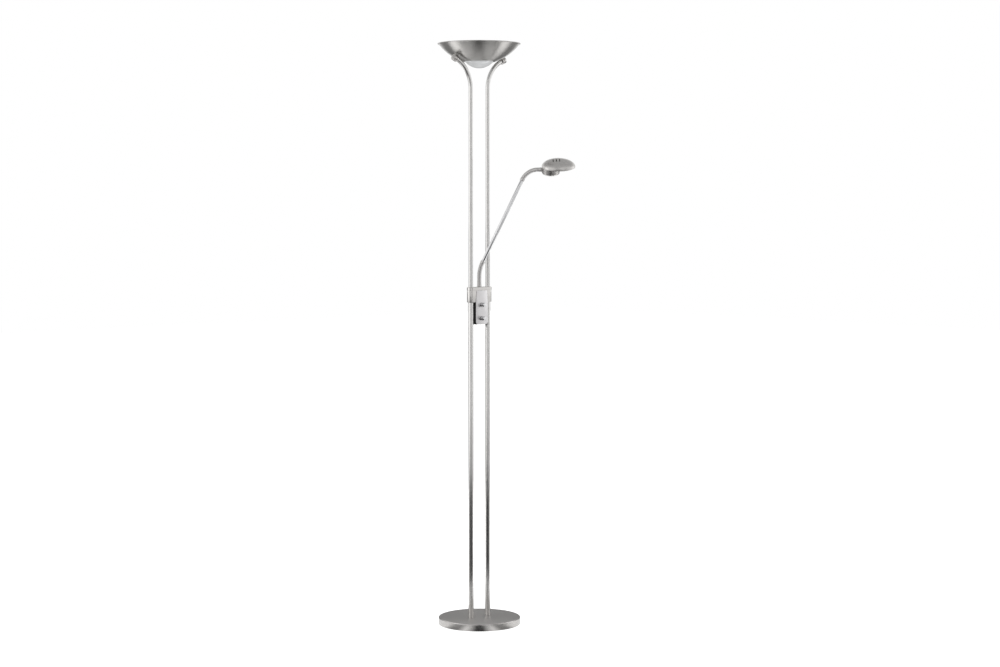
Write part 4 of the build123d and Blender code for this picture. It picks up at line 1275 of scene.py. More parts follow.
@dataclass
class DimmerBox:
    """The box under the clamp: black housing, silver front plate and two knobs."""

    half_width: float = 23.55
    bottom: float = 936.0
    top: float = 1005.0
    front: float = -11.45
    back: float = 14.55
    wall: float = 1.8
    corner: float = 4.0
    plate_half_width: float = 24.35
    plate_thickness: float = 1.2
    plate_top: float = 1041.0
    plate_taper: float = 2.8
    plate_corner: float = 9.0
    knob_radius: float = 6.5
    knob_length: float = 13.5
    knob_gap: float = 0.5
    knob_wall: float = 1.0
    knob_edge: float = 1.6
    face_round: float = 0.6
    foot_edge: float = 0.4
    hollow: float = 2.1
    waist: tuple[float, float, float] = (2.6, 2.9, 3.2)
    waist_depth: float = 0.35
    pointer_half: float = 0.35
    pointer_length: float = 3.4
    knob_heights: dict[str, float] = field(default_factory=lambda: {"upper": 997.0, "lower": 955.0})
    neck_radius: float = 3.5
    nut_width: float = 9.5
    nut_thickness: float = 1.6
    housing_edge: float = 1.2
    plate_edge: float = 0.3
    play: float = 0.1

    def shield(self, half: float, corner: float, steps: int) -> Outline:
        """Draw the sides and the round lower corners that the housing and the plate share."""
        low = self.bottom
        outline = Outline(-half, self.top).to((-half, low + corner))
        outline.arc((-half + corner, low + corner), 90.0, steps).to((half - corner, low))
        return outline.arc((half - corner, low + corner), 90.0, steps).to((half, self.top))

    def housing(self) -> None:
        """Push the housing back from its outline, round it and hollow it from the front."""
        half, low = self.half_width, self.bottom
        outline = self.shield(half, self.corner, 8).close()
        solid = softened(outline.pushed(self.back - self.front), self.housing_edge, segments=4)
        placed(solid, at(0, self.front, 0))
        made = piece("box_housing_skin", solid, BLACK_PLASTIC, "stand", ["box_housing"])
        inner_half, inner_low, inner_top = half - self.wall, low + self.wall, self.top - self.wall
        room = Outline(-inner_half, inner_top).to((-inner_half, inner_low), (inner_half, inner_low))
        room.to((inner_half, inner_top)).close()
        hollow = room.pushed(self.back - self.front - self.wall + 1)
        carve(made, placed(hollow, at(0, self.front - 1, 0)))

    def plate(self) -> None:
        """Push the shield-shaped front plate from its outline and soften its edges."""
        half = self.plate_half_width
        narrow = half - self.plate_taper
        outline = self.shield(half, self.plate_corner, 14)
        outline.to((narrow, self.plate_top), (-narrow, self.plate_top)).close()
        solid = softened(outline.pushed(self.plate_thickness), self.plate_edge, segments=3)
        place = at(0, self.front - self.plate_thickness, 0)
        made = piece("front_plate_skin", placed(solid, place), PLATE_SILVER, "stand", ["front_plate"])
        for height in self.knob_heights.values():
            carve(made, placed(rod(self.neck_radius + self.play, -4, 4), self.knob_place(height)))

    def knob_place(self, height: float) -> Matrix:
        """Place on the plate's face, with Z towards the user."""
        face = self.front - self.plate_thickness
        return facing((0, face, height), (0, -1, 0), (1, 0, 0))

    def knob(self, place_name: str, height: float) -> None:
        """Turn a knob with a rounded face, a waist line and a pointer groove.

        Args:
            place_name: upper or lower.
            height: Height of its middle.
        """
        radius, near, far = self.knob_radius, self.knob_gap, self.knob_gap + self.knob_length
        inner, hollow = radius - self.knob_wall, near + self.hollow
        edge, foot = self.knob_edge, self.foot_edge
        low, middle, high = (near + height for height in self.waist)
        outline = Outline(0.0, far).to((radius - edge, far))
        outline.arc((radius - edge, far - self.face_round), -60.0, 3)
        outline.to((radius, far - edge), (radius, high), (radius - self.waist_depth, middle), (radius, low))
        outline.to((radius, near + foot), (radius - foot, near), (inner, near))
        outline.to((inner, hollow), (0.0, hollow))
        place = self.knob_place(height)
        setting = Setting((0.0, self.front, height), (90.0, 0.0, 0.0))
        name = f"{place_name}_knob"
        mesh = placed(outline.turned(steps=72), place)
        made = piece(f"{name}_skin", mesh, KNOB_CHROME, name, [name], setting)
        half, length = self.pointer_half, self.pointer_length
        groove = Outline(-half, 0.0).to((half, 0.0), (half, length), (-half, length)).close().pushed(radius)
        carve(made, placed(groove, place @ at(0, 2.4, far - 3.0)))

    def nuts(self) -> None:
        """Turn the dimmers' collar nuts behind the knobs."""
        nuts = []
        for height in self.knob_heights.values():
            nut = hex_nut(self.nut_width, self.neck_radius + 0.05, 0.0, self.nut_thickness)
            nuts.append(placed(nut, self.knob_place(height)))
        piece("dimmer_nut_pair", joined(*nuts), ZINC, "stand", ["dimmer_nuts"])

    def build(self) -> None:
        """Build and dress the box."""
        self.housing()
        self.plate()
        self.nuts()
        for place_name, height in self.knob_heights.items():
            self.knob(place_name, height)
            dress_node(f"{place_name}_shaft", ZINC)
        dress_node("box_screws", ZINC)
        dress_node("dimmer_board", BOARD)
        dress_node("dimmer_bodies", BLACK_PLASTIC)
        dress_node("terminal_block", WHITE_PLASTIC)


@dataclass
class ArmLine:
    """The middle line of the reading arm: lower neck, rod and upper neck in one upright plane."""

    foot: float = 1052.0
    yaw: float = -42.0
    tilt: float = 25.7
    end_tilt: float = 90.0
    lower_straight: float = 31.0
    lower_radius: float = 103.0
    rod_length: float = 283.0
    upper_radius: float = 54.0
    upper_straight: float = 11.0
    joints: int = 5

    def __post_init__(self) -> None:
        """Work out the plane and the lengths."""
        self.reach = Vector((cos(radians(self.yaw)), sin(radians(self.yaw)), 0.0))
        self.up = Vector((0.0, 0.0, 1.0))
        self.hinge = self.up.cross(self.reach)
        self.lower_length = self.lower_straight + self.lower_radius * radians(self.tilt)
        self.upper_arc = self.upper_radius * radians(self.end_tilt - self.tilt)
        self.upper_length = self.upper_arc + self.upper_straight

    def direction(self, tilt: float) -> Vector:
        """Direction in the arm's plane, tilted outwards from straight up."""
        return self.reach * sin(radians(tilt)) + self.up * cos(radians(tilt))

    def bent(self, start: Vector, tilt: float, radius: float, turned: float) -> Vector:
        """Point on an arc after it has turned by some degrees."""
        across = radius * (cos(radians(tilt)) - cos(radians(tilt + turned)))
        rise = radius * (sin(radians(tilt + turned)) - sin(radians(tilt)))
        return start + self.reach * across + self.up * rise

    def lower(self, along: float) -> Matrix:
        """Frame on the lower neck, a distance from the clamp.

        Args:
            along: Millimetres along the neck.

        Returns:
            The frame, its Z along the neck.
        """
        foot = self.up * self.foot
        if along <= self.lower_straight:
            return facing(foot + self.up * along, self.up, self.hinge)
        turned = min(degrees((along - self.lower_straight) / self.lower_radius), self.tilt)
        past = max(along - self.lower_length, 0.0)
        point = self.bent(foot + self.up * self.lower_straight, 0.0, self.lower_radius, turned)
        return facing(point + self.direction(turned) * past, self.direction(turned), self.hinge)

    def rod(self) -> Matrix:
        """Frame at the rod's lower end."""
        return self.lower(self.lower_length)

    def upper(self, along: float) -> Matrix:
        """Frame on the upper neck, a distance from the rod's upper end.

        Args:
            along: Millimetres along the neck.

        Returns:
            The frame, its Z along the neck.
        """
        rod_end = self.rod().translation / MM + self.direction(self.tilt) * self.rod_length
        if along <= 0:
            way = self.direction(self.tilt)
            return facing(rod_end + way * along, way, self.hinge)
        span = self.end_tilt - self.tilt
        turned = min(degrees(along / self.upper_radius), span)
        past = max(along - self.upper_arc, 0.0)
        way = self.direction(self.tilt + turned)
        return facing(self.bent(rod_end, self.tilt, self.upper_radius, turned) + way * past, way, self.hinge)


@dataclass
class ReadingArm:
    """The swivelling stem, two wound metal necks, and the chrome rod between them."""

    line: ArmLine
    neck_radius: float = 6.5
    neck_bore: float = 5.0
    ribs: int = 6
    rib_rise: float = 0.4
    cuff_radius: float = 6.9
    cuff_length: float = 6.0
    cuff_edge: float = 0.6
    stem_radius: float = 5.0
    stem_bottom: float = 1016.7
    stem_foot: float = 1053.3
    rod_radius: float = 5.4
    rod_wall: float = 0.8
    rod_edge: float = 0.2
    pin_radius: float = 4.0
    pin_length: float = 3.765
    wire_bore: float = 2.0

    def hose(self, start: float, length: float, frame_at: Callable[[float], Matrix]) -> Mesh:
        """Turn a straight length of ribbed hose, then bend it along the arm.

        Args:
            start: Where it starts on the arm's line, in millimetres.
            length: Its length.
            frame_at: Gives the frame at a distance on the line.

        Returns:
            The mesh in its place.
        """
        pitch = length / self.ribs
        floor = self.neck_radius - self.rib_rise
        half = pitch / 2
        radius = (half**2 + self.rib_rise**2) / (2 * self.rib_rise)
        turn = 2 * degrees(asin(half / radius))
        outline = Outline(floor, 0.0)
        for rib in range(self.ribs):
            outline.arc((self.neck_radius - radius, (rib + 0.5) * pitch), turn, 6)
        outline.to((self.neck_bore, length), (self.neck_bore, length / 2), (self.neck_bore, 0.0)).close()
        mesh = outline.turned(steps=40)
        rings = defaultdict(list)
        for vert in mesh.verts:
            rings[round(vert.co.z / MM, 3)].append(vert)
        for height, verts in rings.items():
            place = frame_at(start + height) @ at(0, 0, -height)
            bmesh.ops.transform(mesh, matrix=place, verts=verts)
        return mesh

    def neck(
        self, name: str, length: float, frame_at: Callable[[float], Matrix]
    ) -> None:
        """Build a neck in one section for each of its joints.

        Args:
            name: lower or upper.
            length: The neck's length.
            frame_at: Gives the frame at a distance on the neck.
        """
        pitch = length / self.line.joints
        for index in range(self.line.joints):
            mesh = self.hose(index * pitch, pitch, frame_at)
            made = piece(f"{name}_hose_{index + 1}", mesh, NECK_METAL, None, smooth_angle=50.0)
            start, end = (frame_at(index * pitch).translation, frame_at((index + 1) * pitch).translation)
            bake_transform(made)
            if index > 0:
                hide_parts(f"{name}_neck_link_{index}")

    def cuff(self, inner: float, low: float, high: float) -> Mesh:
        """Turn a smooth cuff that closes a hose's end."""
        return softened(ring(self.cuff_radius, inner, low, high, 56), self.cuff_edge, segments=3)

    def stem(self) -> None:
        """Turn the stem with the cuff that the lower neck stands in."""
        shaft = ring(self.stem_radius, self.wire_bore, self.stem_bottom, self.stem_foot + 1.5, 48)
        cuff = self.cuff(self.stem_radius - 0.4, self.stem_foot, self.stem_foot + self.cuff_length)
        piece("arm_stem_skin", joined(shaft, cuff), NECK_METAL, "arm_stem", ["arm_stem"])
        dress_node("stem_nut", ZINC)

    def rod_and_cuffs(self) -> None:
        """Turn the rod and the cuff at each of its ends."""
        length = self.line.rod_length
        place = self.line.rod()
        inner = self.rod_radius - self.rod_wall
        mesh = softened(ring(self.rod_radius, inner, 0.0, length, 56), self.rod_edge)
        setting = Setting(tuple(place.translation / MM))
        piece("arm_rod_skin", placed(mesh, place), ROD_CHROME, "arm_rod", ["arm_rod"], setting)
        foot = self.cuff(self.rod_radius + 0.02, -self.cuff_length + 2, 4.0)
        piece("rod_foot_skin", placed(foot, place), NECK_METAL, "arm_rod", ["rod_foot"])
        head = self.cuff(self.rod_radius + 0.02, -4.0, self.cuff_length - 2)
        piece("rod_head_skin", placed(head, self.line.upper(0.0)), NECK_METAL, "arm_rod", ["rod_head"])

    def collar(self) -> None:
        """Turn the collar at the neck's end, with the pin that the head turns on."""
        place = self.line.upper(self.line.upper_length)
        cuff = self.cuff(self.pin_radius - 0.5, -self.cuff_length, 0.0)
        pin = ring(self.pin_radius, self.wire_bore, -1.0, self.pin_length, 40)
        mesh = placed(joined(cuff, pin), place)
        piece("head_collar_skin", mesh, NECK_METAL, "head_collar", ["head_collar"])
        dress_node("pin_clip", ZINC)

    def build(self) -> None:
        """Build the arm from the clamp to the head."""
        self.stem()
        self.neck("lower", self.line.lower_length, self.line.lower)
        self.rod_and_cuffs()
        self.neck("upper", self.line.upper_length, self.line.upper)
        self.collar()


@dataclass
class ReadingHead:
    """The reading light's head: a vented dome over a round cup with a frosted glass."""

    line: ArmLine
    roll: float = 22.8
    half_length: float = 52.0
    half_width: float = 40.0
    rise: float = 24.0
    wall: float = 1.2
    dome_shift: float = 23.5
    cup_radius: float = 28.0
    cup_depth: float = 22.6
    cup_edge: float = 6.0
    cup_drop: float = 10.0
    cup_gap: float = 0.3
    plate_thickness: float = 1.2
    glass_radius: float = 22.0
    glass_lip: float = 1.5
    glass_thickness: float = 3.0
    glass_edge: float = 0.4
    reflector_neck: float = 9.5
    reflector_top: float = -5.0
    reflector_wall: float = 0.6
    reflector_flare: Point = (4.0, 3.5)
    vent_length: float = 17.0
    vent_width: float = 2.6
    vent_pitch: float = 10.0
    vent_middle: float = -7.0
    vent_side: float = -6.0
    capsule_radius: float = 4.6
    capsule_bottom: float = -16.9
    coil_middle: float = -10.5
    coil_half: float = 2.6
    coil_radius: float = 0.5
    screw_radius: float = 1.4
    screw_places: tuple[Point, ...] = ((18.0, -18.0), (18.0, 18.0))

    def __post_init__(self) -> None:
        """Work out where the cup and the dome stand."""
        self.up = self.line.up * cos(radians(self.roll)) - self.line.hinge * sin(radians(self.roll))
        reach = self.line.reach
        self.arm_end = self.line.upper(self.line.upper_length).translation / MM
        self.cup_centre = self.arm_end + reach * (self.cup_radius + self.cup_gap) + self.up * self.cup_drop
        self.cup_place = facing(self.cup_centre, self.up, reach)
        self.dome_place = facing(self.cup_centre + reach * self.dome_shift, self.up, reach)
        turn = self.cup_place.to_euler()
        self.setting = Setting(tuple(self.cup_centre), tuple(degrees(angle) for angle in turn))

    def dome(self) -> None:
        """Turn a thin half round, scale it to the dome's half axes, and cut the vents."""
        outer, inner = self.half_length, self.half_length - self.wall
        half_round = Outline(outer, 0.0).arc((0.0, 0.0), 90.0, 22).to((0.0, inner)).arc((0.0, 0.0), -90.0, 22)
        whole = half_round.close().turned(steps=96)
        grow = Vector((1.0, self.half_width / outer, self.rise / outer))
        bmesh.ops.scale(whole, vec=grow, verts=list(whole.verts))
        placed(whole, self.dome_place)
        made = piece("head_dome", whole, HEAD_NICKEL, "head", ["head_shell"], self.setting)
        for index in (-1, 0, 1):
            carve(made, self.vent(index))

    def vent(self, index: int) -> Mesh:
        """Push a round-ended slot through the dome's top.

        Args:
            index: Its place in the row, 0 in the middle.

        Returns:
            The cutter, in its place.
        """
        radius, half = self.vent_width / 2, (self.vent_length - self.vent_width) / 2
        outline = Outline(radius, -half).to((radius, half)).arc((0.0, half), 180.0, 8)
        outline.to((-radius, -half)).arc((0.0, -half), 180.0, 8).close()
        slot = outline.pushed(self.rise)
        shift = at(self.vent_middle + index * self.vent_pitch, self.vent_side, self.rise + 4.0)
        return placed(slot, self.dome_place @ shift @ LAID_FLAT)

    def underplate(self) -> None:
        """Push the oval plate that closes the dome from below."""
        reach = self.half_length - self.wall - 0.2
        disc = ring(reach, 6.1, 0.0, self.plate_thickness, 96)
        for vert in disc.verts:
            if vert.co.xy.length > 20 * MM:
                vert.co.y *= (self.half_width - self.wall - 0.2) / reach
            else:
                vert.co.x -= self.dome_shift * MM
        placed(disc, self.dome_place)
        made = piece("head_base_plate", disc, HEAD_NICKEL, "head", ["head_underplate"], self.setting)
        for x, y in self.screw_places:
            carve(made, placed(rod(self.screw_radius + 0.1, -2, 4, 24), self.dome_place @ at(x, y, 0)))

    def cup(self) -> None:
        """Turn the cup with its rounded bottom edge and the lip that holds the glass."""
        radius, depth, edge, wall = self.cup_radius, self.cup_depth, self.cup_edge, self.wall
        opening = self.glass_radius - self.glass_lip
        outline = Outline(radius - wall, -0.05).to((radius - 0.3, -0.05), (radius, -0.35))
        outline.to((radius, -depth + edge))
        outline.arc((radius - edge, -depth + edge), -90.0, 10)
        outline.to((opening + 0.3, -depth), (opening, -depth + 0.3), (opening, -depth + wall))
        outline.to((radius - edge, -depth + wall))
        outline.arc((radius - edge, -depth + edge), 90.0, 10).close()
        mesh = placed(outline.turned(steps=96), self.cup_place)
        made = piece("head_cup_skin", mesh, HEAD_NICKEL, "head", ["head_cup"], self.setting)
        place = facing(self.arm_end, self.line.reach, self.line.hinge)
        carve(made, placed(rod(4.05, -3.0, 14.0), place))

    def glass(self) -> None:
        """Turn the frosted cover glass with softened rims."""
        low = -self.cup_depth + self.wall
        disc = softened(rod(self.glass_radius - 0.1, low, low + self.glass_thickness, 80), self.glass_edge)
        piece("head_glass_skin", placed(disc, self.cup_place), FROSTED, "head", ["head_glass"], self.setting)

    def reflector(self) -> None:
        """Turn the bright reflector with a curved flare."""
        low = -self.cup_depth + self.wall + self.glass_thickness
        wide, narrow, top = self.glass_radius - self.glass_lip, self.reflector_neck, self.reflector_top
        wall, (out, down) = self.reflector_wall, self.reflector_flare
        outline = Outline(wide, low).to((wide + wall, low), (narrow + out + wall, top - down))
        outline.to((narrow + wall, top), (narrow + wall, 0.0), (narrow, 0.0), (narrow, top))
        outline.to((narrow + out, top - down)).close()
        mesh = placed(outline.turned(steps=72), self.cup_place)
        piece("head_reflector_skin", mesh, BRIGHT_SHEET, "head", ["head_reflector"])

    def capsule(self) -> None:
        """Turn the clear capsule lamp with its rounded end and a small filament."""
        low, high, radius = self.capsule_bottom, self.plate_thickness, self.capsule_radius
        tip = radius * 0.8
        outline = Outline(0.0, low).to((radius - tip, low)).arc((radius - tip, low + tip), 90.0, 8)
        outline = outline.to((radius, high), (0.0, high))
        mesh = placed(outline.turned(steps=48), self.cup_place)
        piece("capsule_glass", mesh, QUARTZ, "head", ["capsule_lamp"])
        middle = self.cup_place @ at(0, 0, self.coil_middle) @ Matrix.Rotation(pi / 2, 4, "X")
        coil = placed(rod(self.coil_radius, -self.coil_half, self.coil_half, 12), middle)
        piece("capsule_filament", coil, TUNGSTEN, "head")

    def screws(self) -> None:
        """Turn the two pan-head screws under the plate, each with a cross recess."""
        meshes = []
        radius = self.screw_radius
        for x, y in self.screw_places:
            outline = Outline(0.0, -radius).to((radius * 1.2, -radius)).to((radius * 2, -radius * 0.4))
            outline.to((radius * 2, 0.0), (radius, 0.0), (radius, 9.0), (0.0, 9.0))
            meshes.append(placed(outline.turned(steps=32), self.dome_place @ at(x, y, 0)))
        made = piece("head_screw_pair", joined(*meshes), ZINC, "head", ["head_screws"])
        for x, y in self.screw_places:
            for turn in (45.0, 135.0):
                slot = Outline(-1.5, -2.0).to((1.5, -2.0), (1.5, -0.7), (-1.5, -0.7)).close().pushed(0.5)
                across = Matrix.Rotation(radians(turn), 4, "Z") @ at(0, -0.25, 0)
                carve(made, placed(slot, self.dome_place @ at(x, y, 0) @ across))

    def build(self) -> None:
        """Build and dress the head."""
        self.dome()
        self.underplate()
        self.cup()
        self.glass()
        self.reflector()
        self.capsule()
        self.screws()
        dress_node("capsule_holder", CERAMIC)


@dataclass
class Bowl:
    """The open bowl, and the two fixings that carry it on the poles' ends."""

    radius: float = 156.0
    rim_radius: float = 126.2
    wall: float = 1.2
    hole_radius: float = 50.0
    bead_radius: float = 1.7
    overall_height: float = 1800.0
    bend_angle: float = 66.0
    block_radius: float = 10.5
    block_length: float = 14.5
    block_edge: float = 1.2
    tube_seat: float = 4.0
    groove_edge: float = 0.25
    nipple_place: float = 9.6
    groove_place: float = 4.8
    groove_width: float = 2.4
    groove_depth: float = 0.8
    standoff: float = 16.0
    spacer_radius: float = 5.5
    spacer_sink: float = 1.6
    spacer_gap: float = 0.12
    spacer_edge: float = 0.4
    nipple_radius: float = 3.4
    nipple_bore: float = 1.8
    nipple_x: float = 100.723
    nipple_z: float = 1752.281
    nut_distance: float = 19.199
    nut_width: float = 12.0
    nut_thickness: float = 4.0
    nipple_length: float = 24.699
    nipple_edge: float = 0.4
    thread_pitch: float = 0.8
    thread_depth: float = 0.35
    tube_radius: float = 6.65

    def __post_init__(self) -> None:
        """Work out the middle of the bowl's round."""
        self.centre_z = self.overall_height + sqrt(self.radius**2 - self.rim_radius**2)

    def bowl(self) -> None:
        """Turn the bowl's wall with a rolled rim and a softened lower opening."""
        outer, inner, centre = self.radius, self.radius - self.wall, (0.0, self.centre_z)
        low = -degrees(acos(self.hole_radius / outer))
        bead = self.bead_radius
        bead_z = self.overall_height - bead
        meet = -degrees(asin((self.centre_z - bead_z + bead * 0.6) / outer))
        start = Outline(*on_round(centre, outer, low))
        start.arc(centre, meet - low, 48)
        tip = start.tip.co / MM
        bead_start = degrees(atan2(tip.z - bead_z, tip.x - self.rim_radius))
        start.to(on_round((self.rim_radius, bead_z), bead, bead_start))
        inner_meet = -degrees(asin((self.centre_z - bead_z) / inner))
        inner_tip = on_round(centre, inner, inner_meet)
        bead_end = degrees(atan2(inner_tip[1] - bead_z, inner_tip[0] - self.rim_radius))
        start.arc((self.rim_radius, bead_z), (bead_end - bead_start) % 360.0, 14)
        start.to(inner_tip).arc(centre, low - inner_meet, 48).close()
        piece("bowl_skin", start.turned(steps=192), BOWL_NICKEL, "stand", ["bowl"], smooth_angle=40.0)

    def fixing(self, side: int) -> tuple[Matrix, Matrix]:
        """Frames of a fixing.

        Args:
            side: -1 for the left fixing, 1 for the right.

        Returns:
            The frame into the bowl, and the frame out along the pole's end.
        """
        centre = Vector((side * self.nipple_x, 0.0, self.nipple_z))
        inward = (Vector((0.0, 0.0, self.centre_z)) - centre).normalized()
        angle = radians(self.bend_angle)
        outward = Vector((side * sin(angle), 0.0, cos(angle)))
        across = Vector((0.0, 1.0, 0.0))
        return facing(centre, inward, across), facing(centre - outward * self.nipple_place, outward, across)

    def block(self) -> Mesh:
        """Turn an end block with two shallow rings cut round it.

        Returns:
            The block, in its own frame.
        """
        radius, length, edge, lip = self.block_radius, self.block_length, self.block_edge, self.groove_edge
        low = self.groove_place
        high = low + self.groove_width
        floor = radius - self.groove_depth
        outline = Outline(self.tube_radius + 0.1, 0.0).to((radius - edge, 0.0))
        outline.arc((radius - edge, edge), 90.0 - 0.01, 5)
        outline.to((radius, low - lip), (radius - lip, low), (floor, low), (floor, high))
        outline.to((radius - lip, high), (radius, high + lip), (radius, length - edge))
        outline.arc((radius - edge, length - edge), 90.0, 5)
        outline.to((0.0, length), (0.0, self.tube_seat), (self.tube_radius + 0.1, self.tube_seat)).close()
        return outline.turned(steps=64)

    def spacer(self) -> Mesh:
        """Turn the round stand-off between the block and the bowl.

        Returns:
            The stand-off, in the fixing's frame.
        """
        radius, edge = self.spacer_radius, self.spacer_edge
        low, top = self.block_radius - self.spacer_sink, self.standoff - self.spacer_gap
        outline = Outline(self.nipple_radius + 0.1, low)
        outline.to((radius, low), (radius, top - edge), (radius - edge, top))
        return outline.to((self.nipple_radius + 0.1, top)).close().turned(steps=48)

    def nipple(self) -> Mesh:
        """Turn the hollow nipple with rings for its thread where it shows inside the bowl.

        Returns:
            The nipple, in the fixing's frame.
        """
        radius, length = self.nipple_radius, self.nipple_length
        edge, pitch = self.nipple_edge, self.thread_pitch
        outline = Outline(self.nipple_bore, 0.0).to((radius, 0.0), (radius, self.nut_distance))
        turns = int((length - self.nut_distance - edge) / pitch)
        for turn in range(turns):
            low = self.nut_distance + turn * pitch
            outline.to((radius - self.thread_depth, low + pitch / 2), (radius, low + pitch))
        outline.to((radius, length - edge), (radius - edge, length), (self.nipple_bore, length)).close()
        return outline.turned(steps=40)

    def fixings(self) -> None:
        """Build both fixings, each kind of piece as one object of two shells."""
        kinds = {
            "end_block_pair": (self.block, TURNED_NICKEL, "end_blocks", 1),
            "bowl_spacer_pair": (self.spacer, ZINC, "bowl_spacers", 0),
            "bowl_nipple_pair": (self.nipple, ZINC, "bowl_nipples", 0),
            "bowl_nut_pair": (self.nut, ZINC, "bowl_nuts", 0),
        }
        for name, (maker, finish, node, way) in kinds.items():
            meshes = [placed(maker(), self.fixing(side)[way]) for side in SIDES.values()]
            piece(name, joined(*meshes), finish, "stand", [node])

    def nut(self) -> Mesh:
        """Make the nut that holds the bowl from inside."""
        low = self.nut_distance
        return hex_nut(self.nut_width, self.nipple_radius + 0.05, low, low + self.nut_thickness)

    def build(self) -> None:
        """Build the bowl and its fixings."""
        self.bowl()
        self.fixings()


